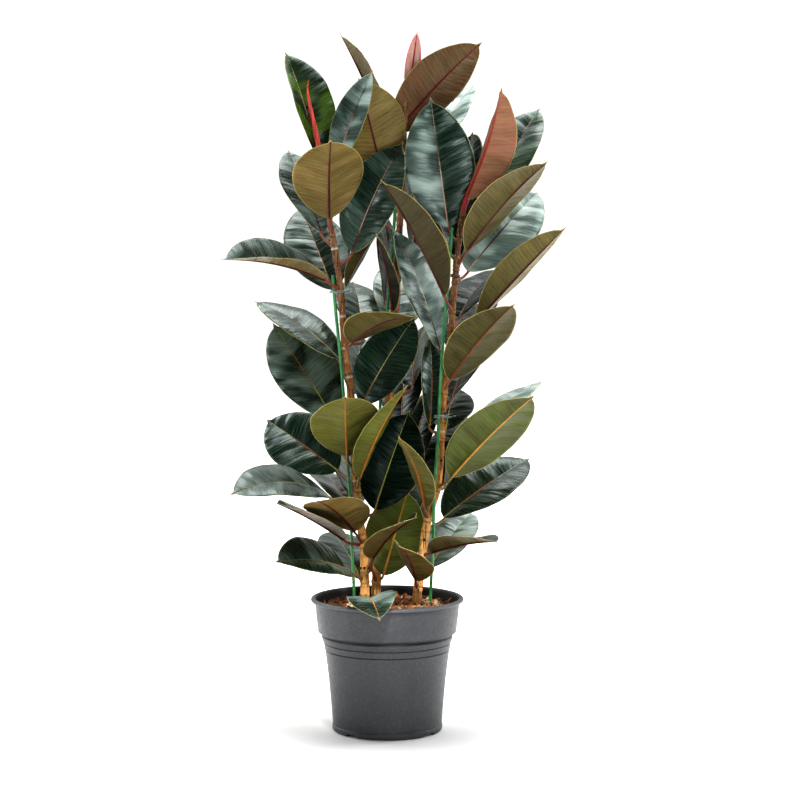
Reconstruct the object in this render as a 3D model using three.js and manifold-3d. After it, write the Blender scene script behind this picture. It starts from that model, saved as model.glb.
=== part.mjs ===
// A potted rubber plant: three leafy stems, each tied to a thin stake, stand in bark in a ribbed
// nursery pot. Millimetres, +Z up, the origin at the middle of the pot's underside, the plant's
// broad side towards -Y.
import * as THREE from "three";
import { mergeVertices } from "three/addons/utils/BufferGeometryUtils.js";
import Module from "manifold-3d";

const wasm = await Module();
wasm.setup();

// ---- Driving dimensions -------------------------------------------------------------------

const GAP = 0.3; // left between two pieces that touch
const ROUND_GAP = 1.15 * GAP; // the same between rounds, whose flats lie inside their corners
const RIM_RADIUS = 120;
const POT_HEIGHT = 210;
const POT_WALL = 2;
const BASE_RADIUS = 86.2;
const BASE_THICKNESS = 3;
const BEAD_HEIGHT = 6.5; // rolled edge of the rim
const COLLAR_TOP_RADIUS = 113.5; // just under the bead
const COLLAR_FOOT_RADIUS = 109;
const COLLAR_FOOT = 156; // height of the collar's lower edge
const NECK_RADIUS = 102.6; // where the body starts under the collar
const NECK = 150;
const RIDGE_HEIGHTS = [140, 129]; // two steps round the body
const RIDGE_STEP = 1.2;
const BODY_TOP_RADIUS = 98; // under the lower step
const BEAD_ROUND = 1.5; // rounding of the rolled edge
const NOTCH = { count: 4, first: -130, width: 27, height: 3.5, depth: 26, lip: 4 }; // drain notches
const DRAIN = { radius: 5, inset: 15, depth: 15, sides: 10 }; // a hole in the floor at each notch
const POT_SIDES = 40;

const SOIL_HEIGHT = 189; // at the wall
const SOIL_MOUND = 7; // rise towards the middle
const SOIL_RELIEF = 2.6; // height of the bark chips' relief
const SOIL_RINGS = 8;
const SOIL_SIDES = 36;
const HOLE_SIDES = 16;
const STEM_FOOT = 130; // the stems and stakes end this high, down in their holes
const STAKE_FOOT = 110;

const STAKE_RADIUS = 2.5;
const TIE_RADIUS = 0.9;
const TIE_ROOM = 0.9; // between the wire and the stem, besides the gap
const TIE_MOUTH = 16; // degrees to each side of the tails where the loop is open
const TIE_PITCH = 3; // rise of the loop from one tail to the other
const TIE_TAIL_RISE = 12; // degrees
const TIE_STEPS = { loop: 14, tube: 26, round: 3 };
const STEM_SIDES = 8;
const STAKE_SIDES = 8;

const BLADE_THICKNESS = 1;
const PETIOLE_RADIUS = { root: 2.7, blade: 1.9 };
const PETIOLE_SAG = { at: 0.6, depth: 0.04 }; // both as shares of its length
const BODY_END = 0.955; // share of the blade's length where its oval would close
const BODY_FULLNESS = 0.62; // exponent of the oval: lower is fuller
const TIP_START = 0.93; // share of the blade's length where its drip tip begins
const TIP_WIDTH = 0.11; // of the blade's width, there
const TIP_END = 0.012; // of the blade's width, at the very tip
const BLADE_STATIONS = [0.05, 0.16, 0.34, 0.54, 0.72, 0.87, 0.955, 1];

// ---- Stems and stakes: points of the centreline, x, y, z, and the radius there ----------------

const STEMS = {
  left: [
    [-36, 50, STEM_FOOT, 7.2],
    [-36, 50, 198, 7.2],
    [-36, 50, 237, 6.9],
    [-38, 50, 285, 6.6],
    [-48, 48, 365, 6.2],
    [-57, 45, 516, 5.7],
    [-67, 44, 603, 5.3],
    [-73, 42, 687, 5],
    [-80, 40, 740, 4.8],
    [-91, 38, 804, 4.5],
    [-102, 36, 885, 4.2],
    [-107, 35, 912, 4],
    [-112, 34, 940, 3.6],
    [-120, 33, 975, 2.8],
    [-124, 32, 1000, 1.6],
    [-123, 32, 1016, 0.7],
  ],
  centre: [
    [-17, 75, STEM_FOOT, 7.4],
    [-17, 75, 199, 7.4],
    [-18, 75, 220, 7.2],
    [-7, 78, 386, 6.4],
    [4, 80, 546, 5.8],
    [14, 80, 705, 5.2],
    [22, 78, 832, 4.7],
    [26, 75, 926, 4.3],
    [29, 72, 985, 3.4],
    [32, 71, 1002, 2],
  ],
  right: [
    [46, 7, STEM_FOOT, 7],
    [46, 7, 190, 7],
    [48, 7, 220, 6.8],
    [62, 8, 322, 6.3],
    [80, 8, 393, 5.7],
    [87, 8, 511, 5.3],
    [97, 8, 597, 5],
    [103, 8, 675, 4.8],
    [109, 8, 741, 4.6],
    [113, 6, 780, 4.3],
    [119, 3, 818, 3.8],
    [126, -1, 840, 2.9],
    [133, -4, 862, 0.9],
  ],
};

const STAKES = {
  left: [
    [-53, 55, STAKE_FOOT],
    [-53, 55, 198],
    [-57, 52, 293],
    [-59, 48, 365],
    [-62, 46, 405],
    [-68.5, 42, 516],
    [-75, 39, 595],
    [-82, 38, 666],
    [-85.5, 36, 714],
  ],
  centre: [
    [-13, 88, STAKE_FOOT],
    [-13, 88, 200],
    [-15, 88, 320],
    [-14, 82, 450],
    [-6, 75, 600],
    [5, 72, 705],
    [13, 69, 830],
  ],
  right: [
    [68, 22, STAKE_FOOT],
    [68, 22, 200],
    [72, -2, 305],
    [73, -4, 366],
    [75, -1, 402],
    [79, 0, 457],
    [82, 0, 528],
    [88, 0, 629],
    [94, 0, 699],
    [99, 0, 768],
    [101, 0, 788],
  ],
};

// Ties: which stem and stake, the height, and the bearing and length of the twisted tails.
const TIES = [
  { name: "tie_left_upper", stem: "left", height: 687, bearing: -20, tail: 20 },
  { name: "tie_left_lower", stem: "left", height: 432, bearing: 160, tail: 8 },
  { name: "tie_right_upper", stem: "right", height: 713, bearing: -60, tail: 9 },
  { name: "tie_right_lower", stem: "right", height: 494, bearing: -15, tail: 15 },
];

// ---- Leaves ---------------------------------------------------------------------------------
// leaf(name, height of its node on the stem, [bearing, rise, length] of its stalk,
// [bearing, rise, length, width] of its blade, [roll, droop, fold], joined)
// Bearings are seen from above, 0 towards +X and 90 towards +Y, and rise is above level, both in
// degrees. Roll turns the blade about its midrib, droop is how far the midrib turns down from
// base to tip, and fold is how far each half is lifted. A joined leaf is one body with its stem.

function leaf(name, at, stalk, blade, [roll, droop, fold], joined = false) {
  return { name, stem: name.split("_")[0], at, stalk, blade, roll, droop, fold, joined };
}

const LEAVES = [
  leaf("left_01", 205, [-86, 3, 88], [-81, -4, 127, 76], [8, 56, 12]),
  leaf("left_02", 221, [110, 15, 22], [110, 21, 165, 92], [2, 20, 6]),
  leaf("left_03", 226, [-133, 33, 38], [-131, 11, 175, 100], [-33, 30, 12]),
  leaf("left_04", 283, [-150, 20, 38], [-139, 27, 154, 86], [-10, 12, 12]),
  leaf("left_05", 284, [-120, 43, 38], [-110, 23, 170, 100], [10, 20, 10]),
  leaf("left_06", 326, [-10, 34, 29], [17, 70, 166, 108], [60, 20, 5]),
  leaf("left_07", 328, [128, 23, 34], [106, 14, 177, 93], [17, 18, 4], true),
  leaf("left_08", 335, [-154, 30, 59], [-144, 5, 187, 104], [-24, 56, 6]),
  leaf("left_09", 344, [117, 23, 33], [101, 28, 165, 90], [40, 20, 3], true),
  leaf("left_10", 373, [-80, 40, 36], [-44, 55, 184, 94], [18, 16, 12]),
  leaf("left_11", 383, [137, 23, 45], [140, 25, 172, 108], [-47, 20, 8]),
  leaf("left_12", 402, [-118, 44, 38], [-90, 39, 165, 110], [8, 20, 8]),
  leaf("left_13", 472, [153, 20, 38], [143, 50, 194, 117], [-28, 7, 8]),
  leaf("left_14", 501, [-44, 23, 24], [19, 57, 164, 93], [48, 20, 8]),
  leaf("left_15", 516, [93, 18, 32], [85, 33, 165, 90], [47, 18, 5], true),
  leaf("left_16", 561, [123, 33, 35], [147, 28, 188, 89], [-12, 32, 4]),
  leaf("left_17", 597, [-66, 27, 26], [-57, 15, 181, 95], [-8, 20, 12]),
  leaf("left_18", 603, [50, 13, 43], [97, 30, 174, 91], [14, 24, 8], true),
  leaf("left_19", 688, [-128, 26, 42], [-146, 10, 188, 102], [-22, 25, 30]),
  leaf("left_20", 674, [121, 29, 33], [118, 48, 180, 104], [-18, 10, 3]),
  leaf("left_21", 725, [-11, 47, 33], [7, 65, 192, 103], [52, 19, 12]),
  leaf("left_22", 754, [138, 43, 41], [125, 53, 165, 97], [2, 14, 7]),
  leaf("left_23", 776, [-100, 47, 35], [-87, 43, 170, 113], [8, 24, 11]),
  leaf("left_24", 846, [-37, 58, 33], [5, 69, 170, 57], [60, 19, 21]),
  leaf("left_25", 874, [120, 52, 30], [138, 67, 184, 98], [-4, 15, 31]),
  leaf("centre_01", 222, [-35, 41, 18], [-40, 70, 150, 95], [-50, 15, 5]),
  leaf("centre_02", 217, [-98, 52, 62], [-59, 31, 155, 86], [20, 20, 15]),
  leaf("centre_03", 265, [43, 9, 44], [74, 24, 160, 80], [-38, 20, 8], true),
  leaf("centre_04", 289, [42, 21, 44], [81, 25, 155, 80], [40, 20, 8], true),
  leaf("centre_05", 329, [33, 28, 46], [70, 21, 165, 80], [-28, 20, 8], true),
  leaf("centre_06", 370, [18, 23, 42], [61, 57, 175, 83], [-17, 12, 3], true),
  leaf("centre_07", 458, [43, 18, 35], [82, 50, 174, 93], [-36, 14, 2], true),
  leaf("centre_08", 514, [26, 28, 47], [79, 33, 175, 85], [-40, 20, 8], true),
  leaf("centre_09", 602, [80, 32, 42], [86, 37, 179, 95], [16, 20, 8]),
  leaf("centre_10", 633, [-91, 41, 35], [-110, 58, 145, 52], [-62, 15, 28]),
  leaf("centre_11", 657, [119, 26, 34], [96, 61, 175, 85], [56, 20, 8], true),
  leaf("centre_12", 734, [44, 31, 37], [96, 48, 175, 84], [54, 20, 15], true),
  leaf("centre_13", 776, [152, 20, 36], [178, -60, 115, 66], [16, 20, 8]),
  leaf("centre_14", 792, [101, 34, 35], [98, 60, 175, 85], [52, 20, 8], true),
  leaf("centre_15", 858, [-165, 35, 42], [-140, 72, 145, 112], [51, 12, 10]),
  leaf("centre_16", 876, [31, 28, 48], [50, 44, 176, 83], [-2, 20, 7]),
  leaf("centre_17", 910, [151, 29, 30], [148, 62, 198, 77], [38, 10, 18]),
  leaf("centre_18", 926, [171, 44, 18], [-13, 45, 196, 96], [-50, 19, 13]),
  leaf("centre_19", 980, [2, 70, 12], [-45, 79, 106, 25], [-48, 8, 14]),
  leaf("right_01", 220, [-99, 42, 27], [-102, 29, 146, 75], [-28, 20, 19]),
  leaf("right_02", 228, [63, 30, 42], [61, 26, 167, 88], [2, 15, 6]),
  leaf("right_03", 274, [-54, 19, 26], [-54, 12, 170, 84], [-5, 12, 18]),
  leaf("right_04", 315, [36, 24, 39], [37, 25, 196, 110], [20, 18, 8]),
  leaf("right_05", 330, [-108, 54, 28], [-110, 45, 171, 67], [-35, 24, 10]),
  leaf("right_06", 374, [47, 26, 25], [78, 34, 170, 92], [-28, 22, 13], true),
  leaf("right_07", 379, [-42, 34, 37], [-37, 41, 206, 108], [-28, 14, 5]),
  leaf("right_08", 433, [25, 21, 59], [43, 28, 186, 87], [-7, 25, 2]),
  leaf("right_09", 456, [63, 40, 23], [83, 22, 157, 77], [4, 12, 2], true),
  leaf("right_10", 462, [180, 45, 25], [91, 71, 149, 58], [42, 19, 12]),
  leaf("right_11", 500, [57, 35, 35], [70, 27, 168, 90], [-24, 20, 8], true),
  leaf("right_12", 531, [-62, 49, 28], [-47, 41, 184, 94], [-18, 20, 6]),
  leaf("right_13", 574, [58, 33, 35], [67, 28, 170, 91], [-18, 20, 8], true),
  leaf("right_14", 578, [120, 40, 31], [156, 67, 207, 104], [-12, 15, 9]),
  leaf("right_15", 616, [-32, 31, 56], [-28, 44, 208, 69], [-31, 4, 35]),
  leaf("right_16", 628, [63, 31, 37], [63, 25, 175, 93], [-10, 32, 8], true),
  leaf("right_17", 657, [-116, 42, 38], [-153, 58, 209, 90], [2, 11, 32]),
  leaf("right_18", 702, [48, 29, 36], [36, 41, 192, 118], [35, 21, 7]),
  leaf("right_19", 722, [78, 35, 35], [100, 40, 165, 80], [-40, 20, 8], true),
  leaf("right_20", 728, [-51, 44, 35], [-30, 44, 194, 97], [-14, 20, 13]),
  leaf("right_21", 734, [118, 38, 35], [109, 31, 165, 85], [26, 20, 8], true),
  leaf("right_22", 761, [140, 52, 34], [149, 81, 205, 110], [-57, 9, 5]),
  leaf("right_23", 776, [29, 47, 72], [36, 54, 184, 103], [16, 18, 8]),
  leaf("right_24", 792, [68, 25, 38], [85, 53, 168, 78], [-38, 20, 8], true),
  leaf("right_25", 807, [-72, 56, 29], [-63, 56, 200, 88], [-78, 17, 39]),
];

const YOUNG_LEAVES = ["centre_19", "right_25"];

// ---- Materials ------------------------------------------------------------------------------

function material(color, roughness, metalness = 0) {
  return new THREE.MeshStandardMaterial({ color, roughness, metalness });
}

const MATERIALS = {
  pot: () => material(0x5a5c5f, 0.55),
  soil: () => material(0x8a4f2e, 0.95),
  stem: () => material(0xa06a36, 0.8),
  stake: () => material(0x3f9a55, 0.45),
  tie: () => material(0x9fb4b0, 0.5),
  leaf: () => material(0x1f4233, 0.35),
  young: () => material(0x9c5f4a, 0.5),
};

// ---- Solids ---------------------------------------------------------------------------------

const radians = THREE.MathUtils.degToRad;
const vector = (x, y, z) => new THREE.Vector3(x, y, z);

// A closed mesh as a solid.
function solidOf(geometry) {
  const bare = new THREE.BufferGeometry();
  bare.setAttribute("position", geometry.getAttribute("position"));
  bare.setIndex(geometry.getIndex());
  const merged = mergeVertices(bare, 1e-4);
  const made = new wasm.Mesh({
    numProp: 3,
    vertProperties: Float32Array.from(merged.attributes.position.array),
    triVerts: Uint32Array.from(merged.index.array),
  });
  return new wasm.Manifold(made);
}

function geometryOf(solid) {
  const mesh = solid.getMesh();
  const geometry = new THREE.BufferGeometry();
  const places = new Float32Array(mesh.numVert * 3);
  for (let i = 0; i < mesh.numVert; i++) {
    const start = i * mesh.numProp;
    places.set(mesh.vertProperties.subarray(start, start + 3), i * 3);
  }
  geometry.setAttribute("position", new THREE.BufferAttribute(places, 3));
  geometry.setIndex(new THREE.BufferAttribute(Uint32Array.from(mesh.triVerts), 1));
  geometry.computeVertexNormals();
  return geometry;
}

// A closed skin over rings of as many points each, which run anticlockwise seen from the last
// ring. flipped holds the strips that are split along their other diagonal.
function loft(rings, flipped = []) {
  const count = rings[0].length;
  const corners = rings.flat();
  const faces = [];
  for (let i = 0; i + 1 < rings.length; i++) {
    for (let j = 0; j < count; j++) {
      const a = i * count + j;
      const b = i * count + ((j + 1) % count);
      const c = a + count;
      const d = b + count;
      if (flipped.includes(j)) faces.push(a, b, c, b, d, c);
      else faces.push(a, d, c, a, b, d);
    }
  }
  const last = (rings.length - 1) * count;
  for (let j = 1; j + 1 < count; j++) {
    faces.push(0, j + 1, j);
    faces.push(last, last + j, last + j + 1);
  }
  const geometry = new THREE.BufferGeometry();
  geometry.setFromPoints(corners);
  geometry.setIndex(faces);
  return geometry;
}

// A level ring of points round a centre.
function levelRing([x, y, z], radius, sides) {
  const ring = [];
  for (let i = 0; i < sides; i++) {
    const turn = (2 * Math.PI * i) / sides;
    ring.push(vector(x + radius * Math.cos(turn), y + radius * Math.sin(turn), z));
  }
  return ring;
}

// A round rod through points, with the points' own radius or one for all.
function rod(points, sides, extra = 0, radius = null) {
  return loft(points.map((p) => levelRing(p, (radius ?? p[3]) + extra, sides)));
}

// The centreline's point at a height.
function pointAt(points, height) {
  const next = Math.max(1, points.findIndex((p) => p[2] >= height));
  const [low, high] = [points[next - 1], points[next]];
  const share = (height - low[2]) / (high[2] - low[2]);
  return low.map((value, i) => value + (high[i] - value) * share);
}

function directionOf(bearing, rise) {
  const [b, r] = [radians(bearing), radians(rise)];
  return vector(Math.cos(r) * Math.cos(b), Math.cos(r) * Math.sin(b), Math.sin(r));
}

// ---- One leaf -------------------------------------------------------------------------------

// Half the blade's width at a share of its length, as a share of its greatest half width.
function outline(share) {
  const body = Math.sin(Math.PI * Math.min(share / BODY_END, 1)) ** BODY_FULLNESS;
  const tip = (TIP_WIDTH * (1 - share)) / (1 - TIP_START);
  return Math.max(body, share > 0.5 ? tip : 0, TIP_END);
}

// The midrib's place, direction, upper normal and right-hand side at a share of its length.
function midrib(base, { blade, roll, droop }, share) {
  const [bearing, rise, length] = blade;
  const along = directionOf(bearing, rise);
  const up = directionOf(bearing, rise + 90).applyAxisAngle(along, radians(roll));
  const turn = radians(droop);
  const radius = length / (2 * Math.sin(turn / 2));
  const angle = turn * (share - 0.5);
  const place = base
    .clone()
    .addScaledVector(along, radius * (Math.sin(angle) + Math.sin(turn / 2)))
    .addScaledVector(up, radius * (Math.cos(angle) - Math.cos(turn / 2)));
  const forward = along.clone().multiplyScalar(Math.cos(angle)).addScaledVector(up, -Math.sin(angle));
  const normal = up.clone().multiplyScalar(Math.cos(angle)).addScaledVector(along, Math.sin(angle));
  const side = forward.clone().cross(normal);
  return { place, forward, normal, side };
}

// Six points across the blade: left, middle and right on top, and back underneath.
function bladeRing({ place, normal, side }, halfWidth, fold) {
  const half = BLADE_THICKNESS / 2;
  const out = halfWidth * Math.cos(radians(fold));
  const lift = halfWidth * Math.sin(radians(fold));
  const point = (across, face) =>
    place
      .clone()
      .addScaledVector(side, across * out)
      .addScaledVector(normal, Math.abs(across) * lift + face * half);
  return [point(-1, 1), point(0, 1), point(1, 1), point(1, -1), point(0, -1), point(-1, -1)];
}

// Six points round the stalk, in the order of the blade's.
function stalkRing(place, forward, up, radius) {
  const normal = up.clone().addScaledVector(forward, -up.dot(forward)).normalize();
  const side = forward.clone().cross(normal);
  return [150, 90, 30, -30, -90, -150].map((degrees) =>
    place
      .clone()
      .addScaledVector(side, radius * Math.cos(radians(degrees)))
      .addScaledVector(normal, radius * Math.sin(radians(degrees))),
  );
}

// A leaf's stalk and blade in one, from the middle of its stem to the drip tip.
function leafSolid(row) {
  const node = vector(...pointAt(STEMS[row.stem], row.at).slice(0, 3));
  const [bearing, rise, length] = row.stalk;
  const stalk = directionOf(bearing, rise);
  const base = node.clone().addScaledVector(stalk, length);
  const start = midrib(base, row, 0);
  const { root, blade } = PETIOLE_RADIUS;
  const middle = node
    .clone()
    .addScaledVector(stalk, PETIOLE_SAG.at * length)
    .addScaledVector(start.normal, -PETIOLE_SAG.depth * length);
  const bend = stalk.clone().add(start.forward).normalize();
  const rings = [
    stalkRing(node, stalk, start.normal, root),
    stalkRing(middle, bend, start.normal, (root + blade) / 2),
    stalkRing(start.place, start.forward, start.normal, blade),
  ];
  for (const share of BLADE_STATIONS) {
    const spot = midrib(base, row, share);
    rings.push(bladeRing(spot, (outline(share) * row.blade[3]) / 2, row.fold));
  }
  return solidOf(loft(rings, [3, 4]));
}

// ---- Stems with their joined leaves, and the other leaves ---------------------------------------

function stemSolid(name) {
  let solid = solidOf(rod(STEMS[name], STEM_SIDES));
  for (const row of LEAVES.filter((one) => one.joined && one.stem === name)) {
    solid = solid.add(leafSolid(row));
  }
  return solid;
}

// A leaf that ends a gap away from its stem.
function freeLeafSolid(row) {
  const thickened = solidOf(rod(STEMS[row.stem], STEM_SIDES, ROUND_GAP));
  return leafSolid(row).subtract(thickened);
}

// ---- Pot ------------------------------------------------------------------------------------

// Outside of the pot from its underside to its rim, as radius and height.
function outerProfile() {
  const points = [
    [BASE_RADIUS - 5, 0],
    [BASE_RADIUS - 1.2, 2],
    [BASE_RADIUS + 0.4, 7],
    [BASE_RADIUS + 0.4, 9.5],
    [BASE_RADIUS - 0.4, 10.5],
  ];
  const [upper, lower] = RIDGE_HEIGHTS;
  points.push([BODY_TOP_RADIUS, lower - 1]);
  points.push([BODY_TOP_RADIUS + RIDGE_STEP, lower]);
  points.push([BODY_TOP_RADIUS + RIDGE_STEP + 0.6, upper - 1]);
  points.push([BODY_TOP_RADIUS + 2 * RIDGE_STEP + 0.6, upper]);
  points.push([NECK_RADIUS, NECK]);
  points.push([COLLAR_FOOT_RADIUS - 2, COLLAR_FOOT - 3.5]);
  points.push([COLLAR_FOOT_RADIUS, COLLAR_FOOT]);
  points.push([COLLAR_TOP_RADIUS, POT_HEIGHT - BEAD_HEIGHT]);
  points.push([RIM_RADIUS - BEAD_ROUND, POT_HEIGHT - BEAD_HEIGHT]);
  points.push([RIM_RADIUS, POT_HEIGHT - BEAD_HEIGHT / 2]);
  points.push([RIM_RADIUS - BEAD_ROUND, POT_HEIGHT - 0.8]);
  points.push([RIM_RADIUS - 3.5, POT_HEIGHT]);
  return points;
}

// Inside of the pot from its floor to its rim.
function innerProfile() {
  return [
    [BASE_RADIUS - 5, BASE_THICKNESS],
    [BASE_RADIUS - POT_WALL - 0.6, 10],
    [BODY_TOP_RADIUS - POT_WALL, RIDGE_HEIGHTS[1]],
    [NECK_RADIUS - POT_WALL - 0.4, NECK],
    [COLLAR_FOOT_RADIUS - POT_WALL, COLLAR_FOOT + 1],
    [COLLAR_TOP_RADIUS - POT_WALL, POT_HEIGHT - BEAD_HEIGHT],
    [COLLAR_TOP_RADIUS - POT_WALL + BEAD_ROUND, POT_HEIGHT - 1],
  ];
}

// Turns a profile that starts and ends on the axis round it.
function lathe(profile, sides) {
  const points = profile.map(([radius, height]) => new THREE.Vector2(radius, height));
  const geometry = new THREE.LatheGeometry(points, sides);
  return solidOf(geometry.rotateX(Math.PI / 2));
}

// A box whose middle stands at a radius and a bearing.
function boxAt(size, radius, bearing, height) {
  const geometry = new THREE.BoxGeometry(...size);
  geometry.translate(radius, 0, height);
  return solidOf(geometry.rotateZ(radians(bearing)));
}

function cylinderAt(radius, height, [x, y, z], sides) {
  const geometry = new THREE.CylinderGeometry(radius, radius, height, sides);
  geometry.rotateX(Math.PI / 2);
  return solidOf(geometry.translate(x, y, z));
}

function potSolid() {
  const profile = [[0, 0], ...outerProfile(), ...innerProfile().reverse(), [0, BASE_THICKNESS]];
  let pot = lathe(profile, POT_SIDES);
  for (let i = 0; i < NOTCH.count; i++) {
    const bearing = NOTCH.first + (360 / NOTCH.count) * i;
    const size = [NOTCH.depth, NOTCH.width, NOTCH.height * 2];
    pot = pot.subtract(boxAt(size, BASE_RADIUS + NOTCH.lip - NOTCH.depth / 2, bearing, 0));
    const turn = radians(bearing);
    const radius = BASE_RADIUS - DRAIN.inset;
    const hole = [radius * Math.cos(turn), radius * Math.sin(turn), 0];
    pot = pot.subtract(cylinderAt(DRAIN.radius, 2 * DRAIN.depth, hole, DRAIN.sides));
  }
  return pot;
}

// ---- Soil -----------------------------------------------------------------------------------

// Height of the bark over the soil's level: a low mound and the chips' relief.
function barkHeight(x, y) {
  const share = Math.hypot(x, y) / COLLAR_TOP_RADIUS;
  const mound = SOIL_MOUND * Math.max(0, 1 - share * share);
  const ripple =
    Math.sin(x * 0.31 + 1.3) * Math.cos(y * 0.27 - 0.4) +
    0.7 * Math.sin(x * 0.17 - y * 0.23 + 2.1) +
    0.5 * Math.cos(x * 0.47 + y * 0.39);
  return mound + SOIL_RELIEF * 0.5 * ripple;
}

function wallRadiusAt(height) {
  const wall = innerProfile();
  const next = Math.max(1, wall.findIndex((p) => p[1] >= height));
  const [low, high] = [wall[next - 1], wall[next]];
  return low[0] + ((high[0] - low[0]) * (height - low[1])) / (high[1] - low[1]);
}

function soilSolid() {
  const sides = innerProfile()
    .filter(([, height]) => height < SOIL_HEIGHT)
    .map(([radius, height]) => [radius - ROUND_GAP, height + (height === BASE_THICKNESS ? GAP : 0)]);
  const edge = wallRadiusAt(SOIL_HEIGHT) - ROUND_GAP;
  const rings = sides.map(([radius, height]) => levelRing([0, 0, height], radius, SOIL_SIDES));
  for (let i = SOIL_RINGS; i >= 1; i--) {
    const ring = levelRing([0, 0, SOIL_HEIGHT], (edge * i) / SOIL_RINGS, SOIL_SIDES);
    if (i < SOIL_RINGS) ring.forEach((p) => (p.z += barkHeight(p.x, p.y)));
    rings.push(ring);
  }
  let soil = solidOf(loft(rings));
  for (const name of ["left", "centre", "right"]) {
    for (const [points, radius, foot] of [
      [STEMS[name], STEMS[name][0][3], STEM_FOOT],
      [STAKES[name], STAKE_RADIUS, STAKE_FOOT],
    ]) {
      const [x, y] = points[0];
      const height = POT_HEIGHT - foot + GAP;
      const middle = [x, y, foot - GAP + height / 2];
      soil = soil.subtract(cylinderAt(radius + ROUND_GAP, height, middle, HOLE_SIDES));
    }
  }
  return soil;
}

// ---- Ties -----------------------------------------------------------------------------------

// One turn of wire round a stem and its stake, with both ends led out to one side.
function tieSolid({ stem, height, bearing, tail }) {
  const trunk = pointAt(STEMS[stem], height);
  const stake = pointAt(STAKES[stem], height);
  const apart = Math.hypot(trunk[0] - stake[0], trunk[1] - stake[1]);
  const facing = Math.atan2(trunk[1] - stake[1], trunk[0] - stake[0]);
  const room = trunk[3] + TIE_RADIUS + GAP + TIE_ROOM;
  const long = apart / 2 + room;
  const short = room / Math.sqrt(1 - (apart / 2 / long) ** 2);
  const middle = vector((trunk[0] + stake[0]) / 2, (trunk[1] + stake[1]) / 2, height);
  const begin = radians(bearing) - facing;
  const route = [];
  const steps = TIE_STEPS.loop;
  for (let i = 0; i <= steps; i++) {
    const turn = begin + radians(TIE_MOUTH + ((360 - 2 * TIE_MOUTH) * i) / steps);
    const [a, b] = [long * Math.cos(turn), short * Math.sin(turn)];
    const x = a * Math.cos(facing) - b * Math.sin(facing);
    const y = a * Math.sin(facing) + b * Math.cos(facing);
    route.push(middle.clone().add(vector(x, y, (i / steps - 0.5) * TIE_PITCH)));
  }
  const away = directionOf(bearing, TIE_TAIL_RISE);
  const first = route[0].clone().addScaledVector(away, tail);
  const last = route[steps].clone().addScaledVector(away, tail * 0.8);
  const path = new THREE.CatmullRomCurve3([first, ...route, last], false, "centripetal");
  const section = new THREE.Shape();
  section.absarc(0, 0, TIE_RADIUS, 0, 2 * Math.PI, false);
  const options = { extrudePath: path, steps: TIE_STEPS.tube, curveSegments: TIE_STEPS.round };
  return solidOf(new THREE.ExtrudeGeometry(section, options));
}

// ---- The plant --------------------------------------------------------------------------------

const plant = new THREE.Group();
plant.name = "potted_rubber_plant";

function place(parent, name, solid, look) {
  const mesh = new THREE.Mesh(geometryOf(solid), look());
  mesh.name = name;
  parent.add(mesh);
}

place(plant, "pot", potSolid(), MATERIALS.pot);
place(plant, "bark_soil", soilSolid(), MATERIALS.soil);
for (const name of ["left", "centre", "right"]) {
  const group = new THREE.Group();
  group.name = `${name}_plant`;
  place(group, `stem_${name}`, stemSolid(name), MATERIALS.stem);
  const stake = solidOf(rod(STAKES[name], STAKE_SIDES, 0, STAKE_RADIUS));
  place(group, `stake_${name}`, stake, MATERIALS.stake);
  for (const row of LEAVES.filter((one) => !one.joined && one.stem === name)) {
    const look = YOUNG_LEAVES.includes(row.name) ? MATERIALS.young : MATERIALS.leaf;
    place(group, `leaf_${row.name}`, freeLeafSolid(row), look);
  }
  plant.add(group);
}
for (const row of TIES) place(plant, row.name, tieSolid(row), MATERIALS.tie);

export default plant;
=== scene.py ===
"""A potted rubber plant: three staked stems of glossy leaves in a grey nursery pot, on a pale floor."""

import math
import random

import bmesh
import bpy
import numpy as np
from mathutils import Euler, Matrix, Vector, noise


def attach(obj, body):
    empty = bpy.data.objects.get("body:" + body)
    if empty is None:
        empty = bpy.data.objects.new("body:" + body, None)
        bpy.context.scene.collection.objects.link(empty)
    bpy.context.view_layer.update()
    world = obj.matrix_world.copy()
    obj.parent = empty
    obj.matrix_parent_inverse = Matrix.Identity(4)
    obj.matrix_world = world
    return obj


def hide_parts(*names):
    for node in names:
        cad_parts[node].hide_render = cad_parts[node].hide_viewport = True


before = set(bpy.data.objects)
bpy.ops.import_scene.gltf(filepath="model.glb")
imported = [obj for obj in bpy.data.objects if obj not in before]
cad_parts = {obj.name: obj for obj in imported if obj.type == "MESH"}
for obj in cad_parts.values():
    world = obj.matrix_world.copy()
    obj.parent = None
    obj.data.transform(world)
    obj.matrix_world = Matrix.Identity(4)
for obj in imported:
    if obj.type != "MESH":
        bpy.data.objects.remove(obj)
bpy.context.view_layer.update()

# ---- Sizes, in millimetres ----

MM = 0.001
RIM_RADIUS = 120
POT_HEIGHT = 210
POT_WALL = 2
BASE_RADIUS = 86.2
BASE_THICKNESS = 3
BEAD_HEIGHT = 6.5
COLLAR_TOP_RADIUS = 113.5
COLLAR_FOOT_RADIUS = 109
COLLAR_FOOT = 156
NECK_RADIUS = 102.6
NECK = 150
RIDGE_HEIGHTS = (140, 129)
RIDGE_STEP = 1.2
BODY_TOP_RADIUS = 98
GROOVE = 1.5  # depth of the line under each ridge, and about its width
# Painted shade on the collar's rounded foot, where the collar's shadow falls.
FOOT_PAINTED_SHADES = (0.7, 0.3, 0.1, 0, 0, 0)  # how dark the collar's rounded foot is, from its inside out
# A painted highlight along the rim's bead.
BEAD_PAINTED_HIGHLIGHT = -0.25
# Painted shade on the pot's inside.
INSIDE_PAINTED_SHADE = 0.85
NOTCH = {"count": 4, "first": -130, "width": 27, "height": 4.6, "depth": 26, "past_edge": 4, "top": 0.86}

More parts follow.
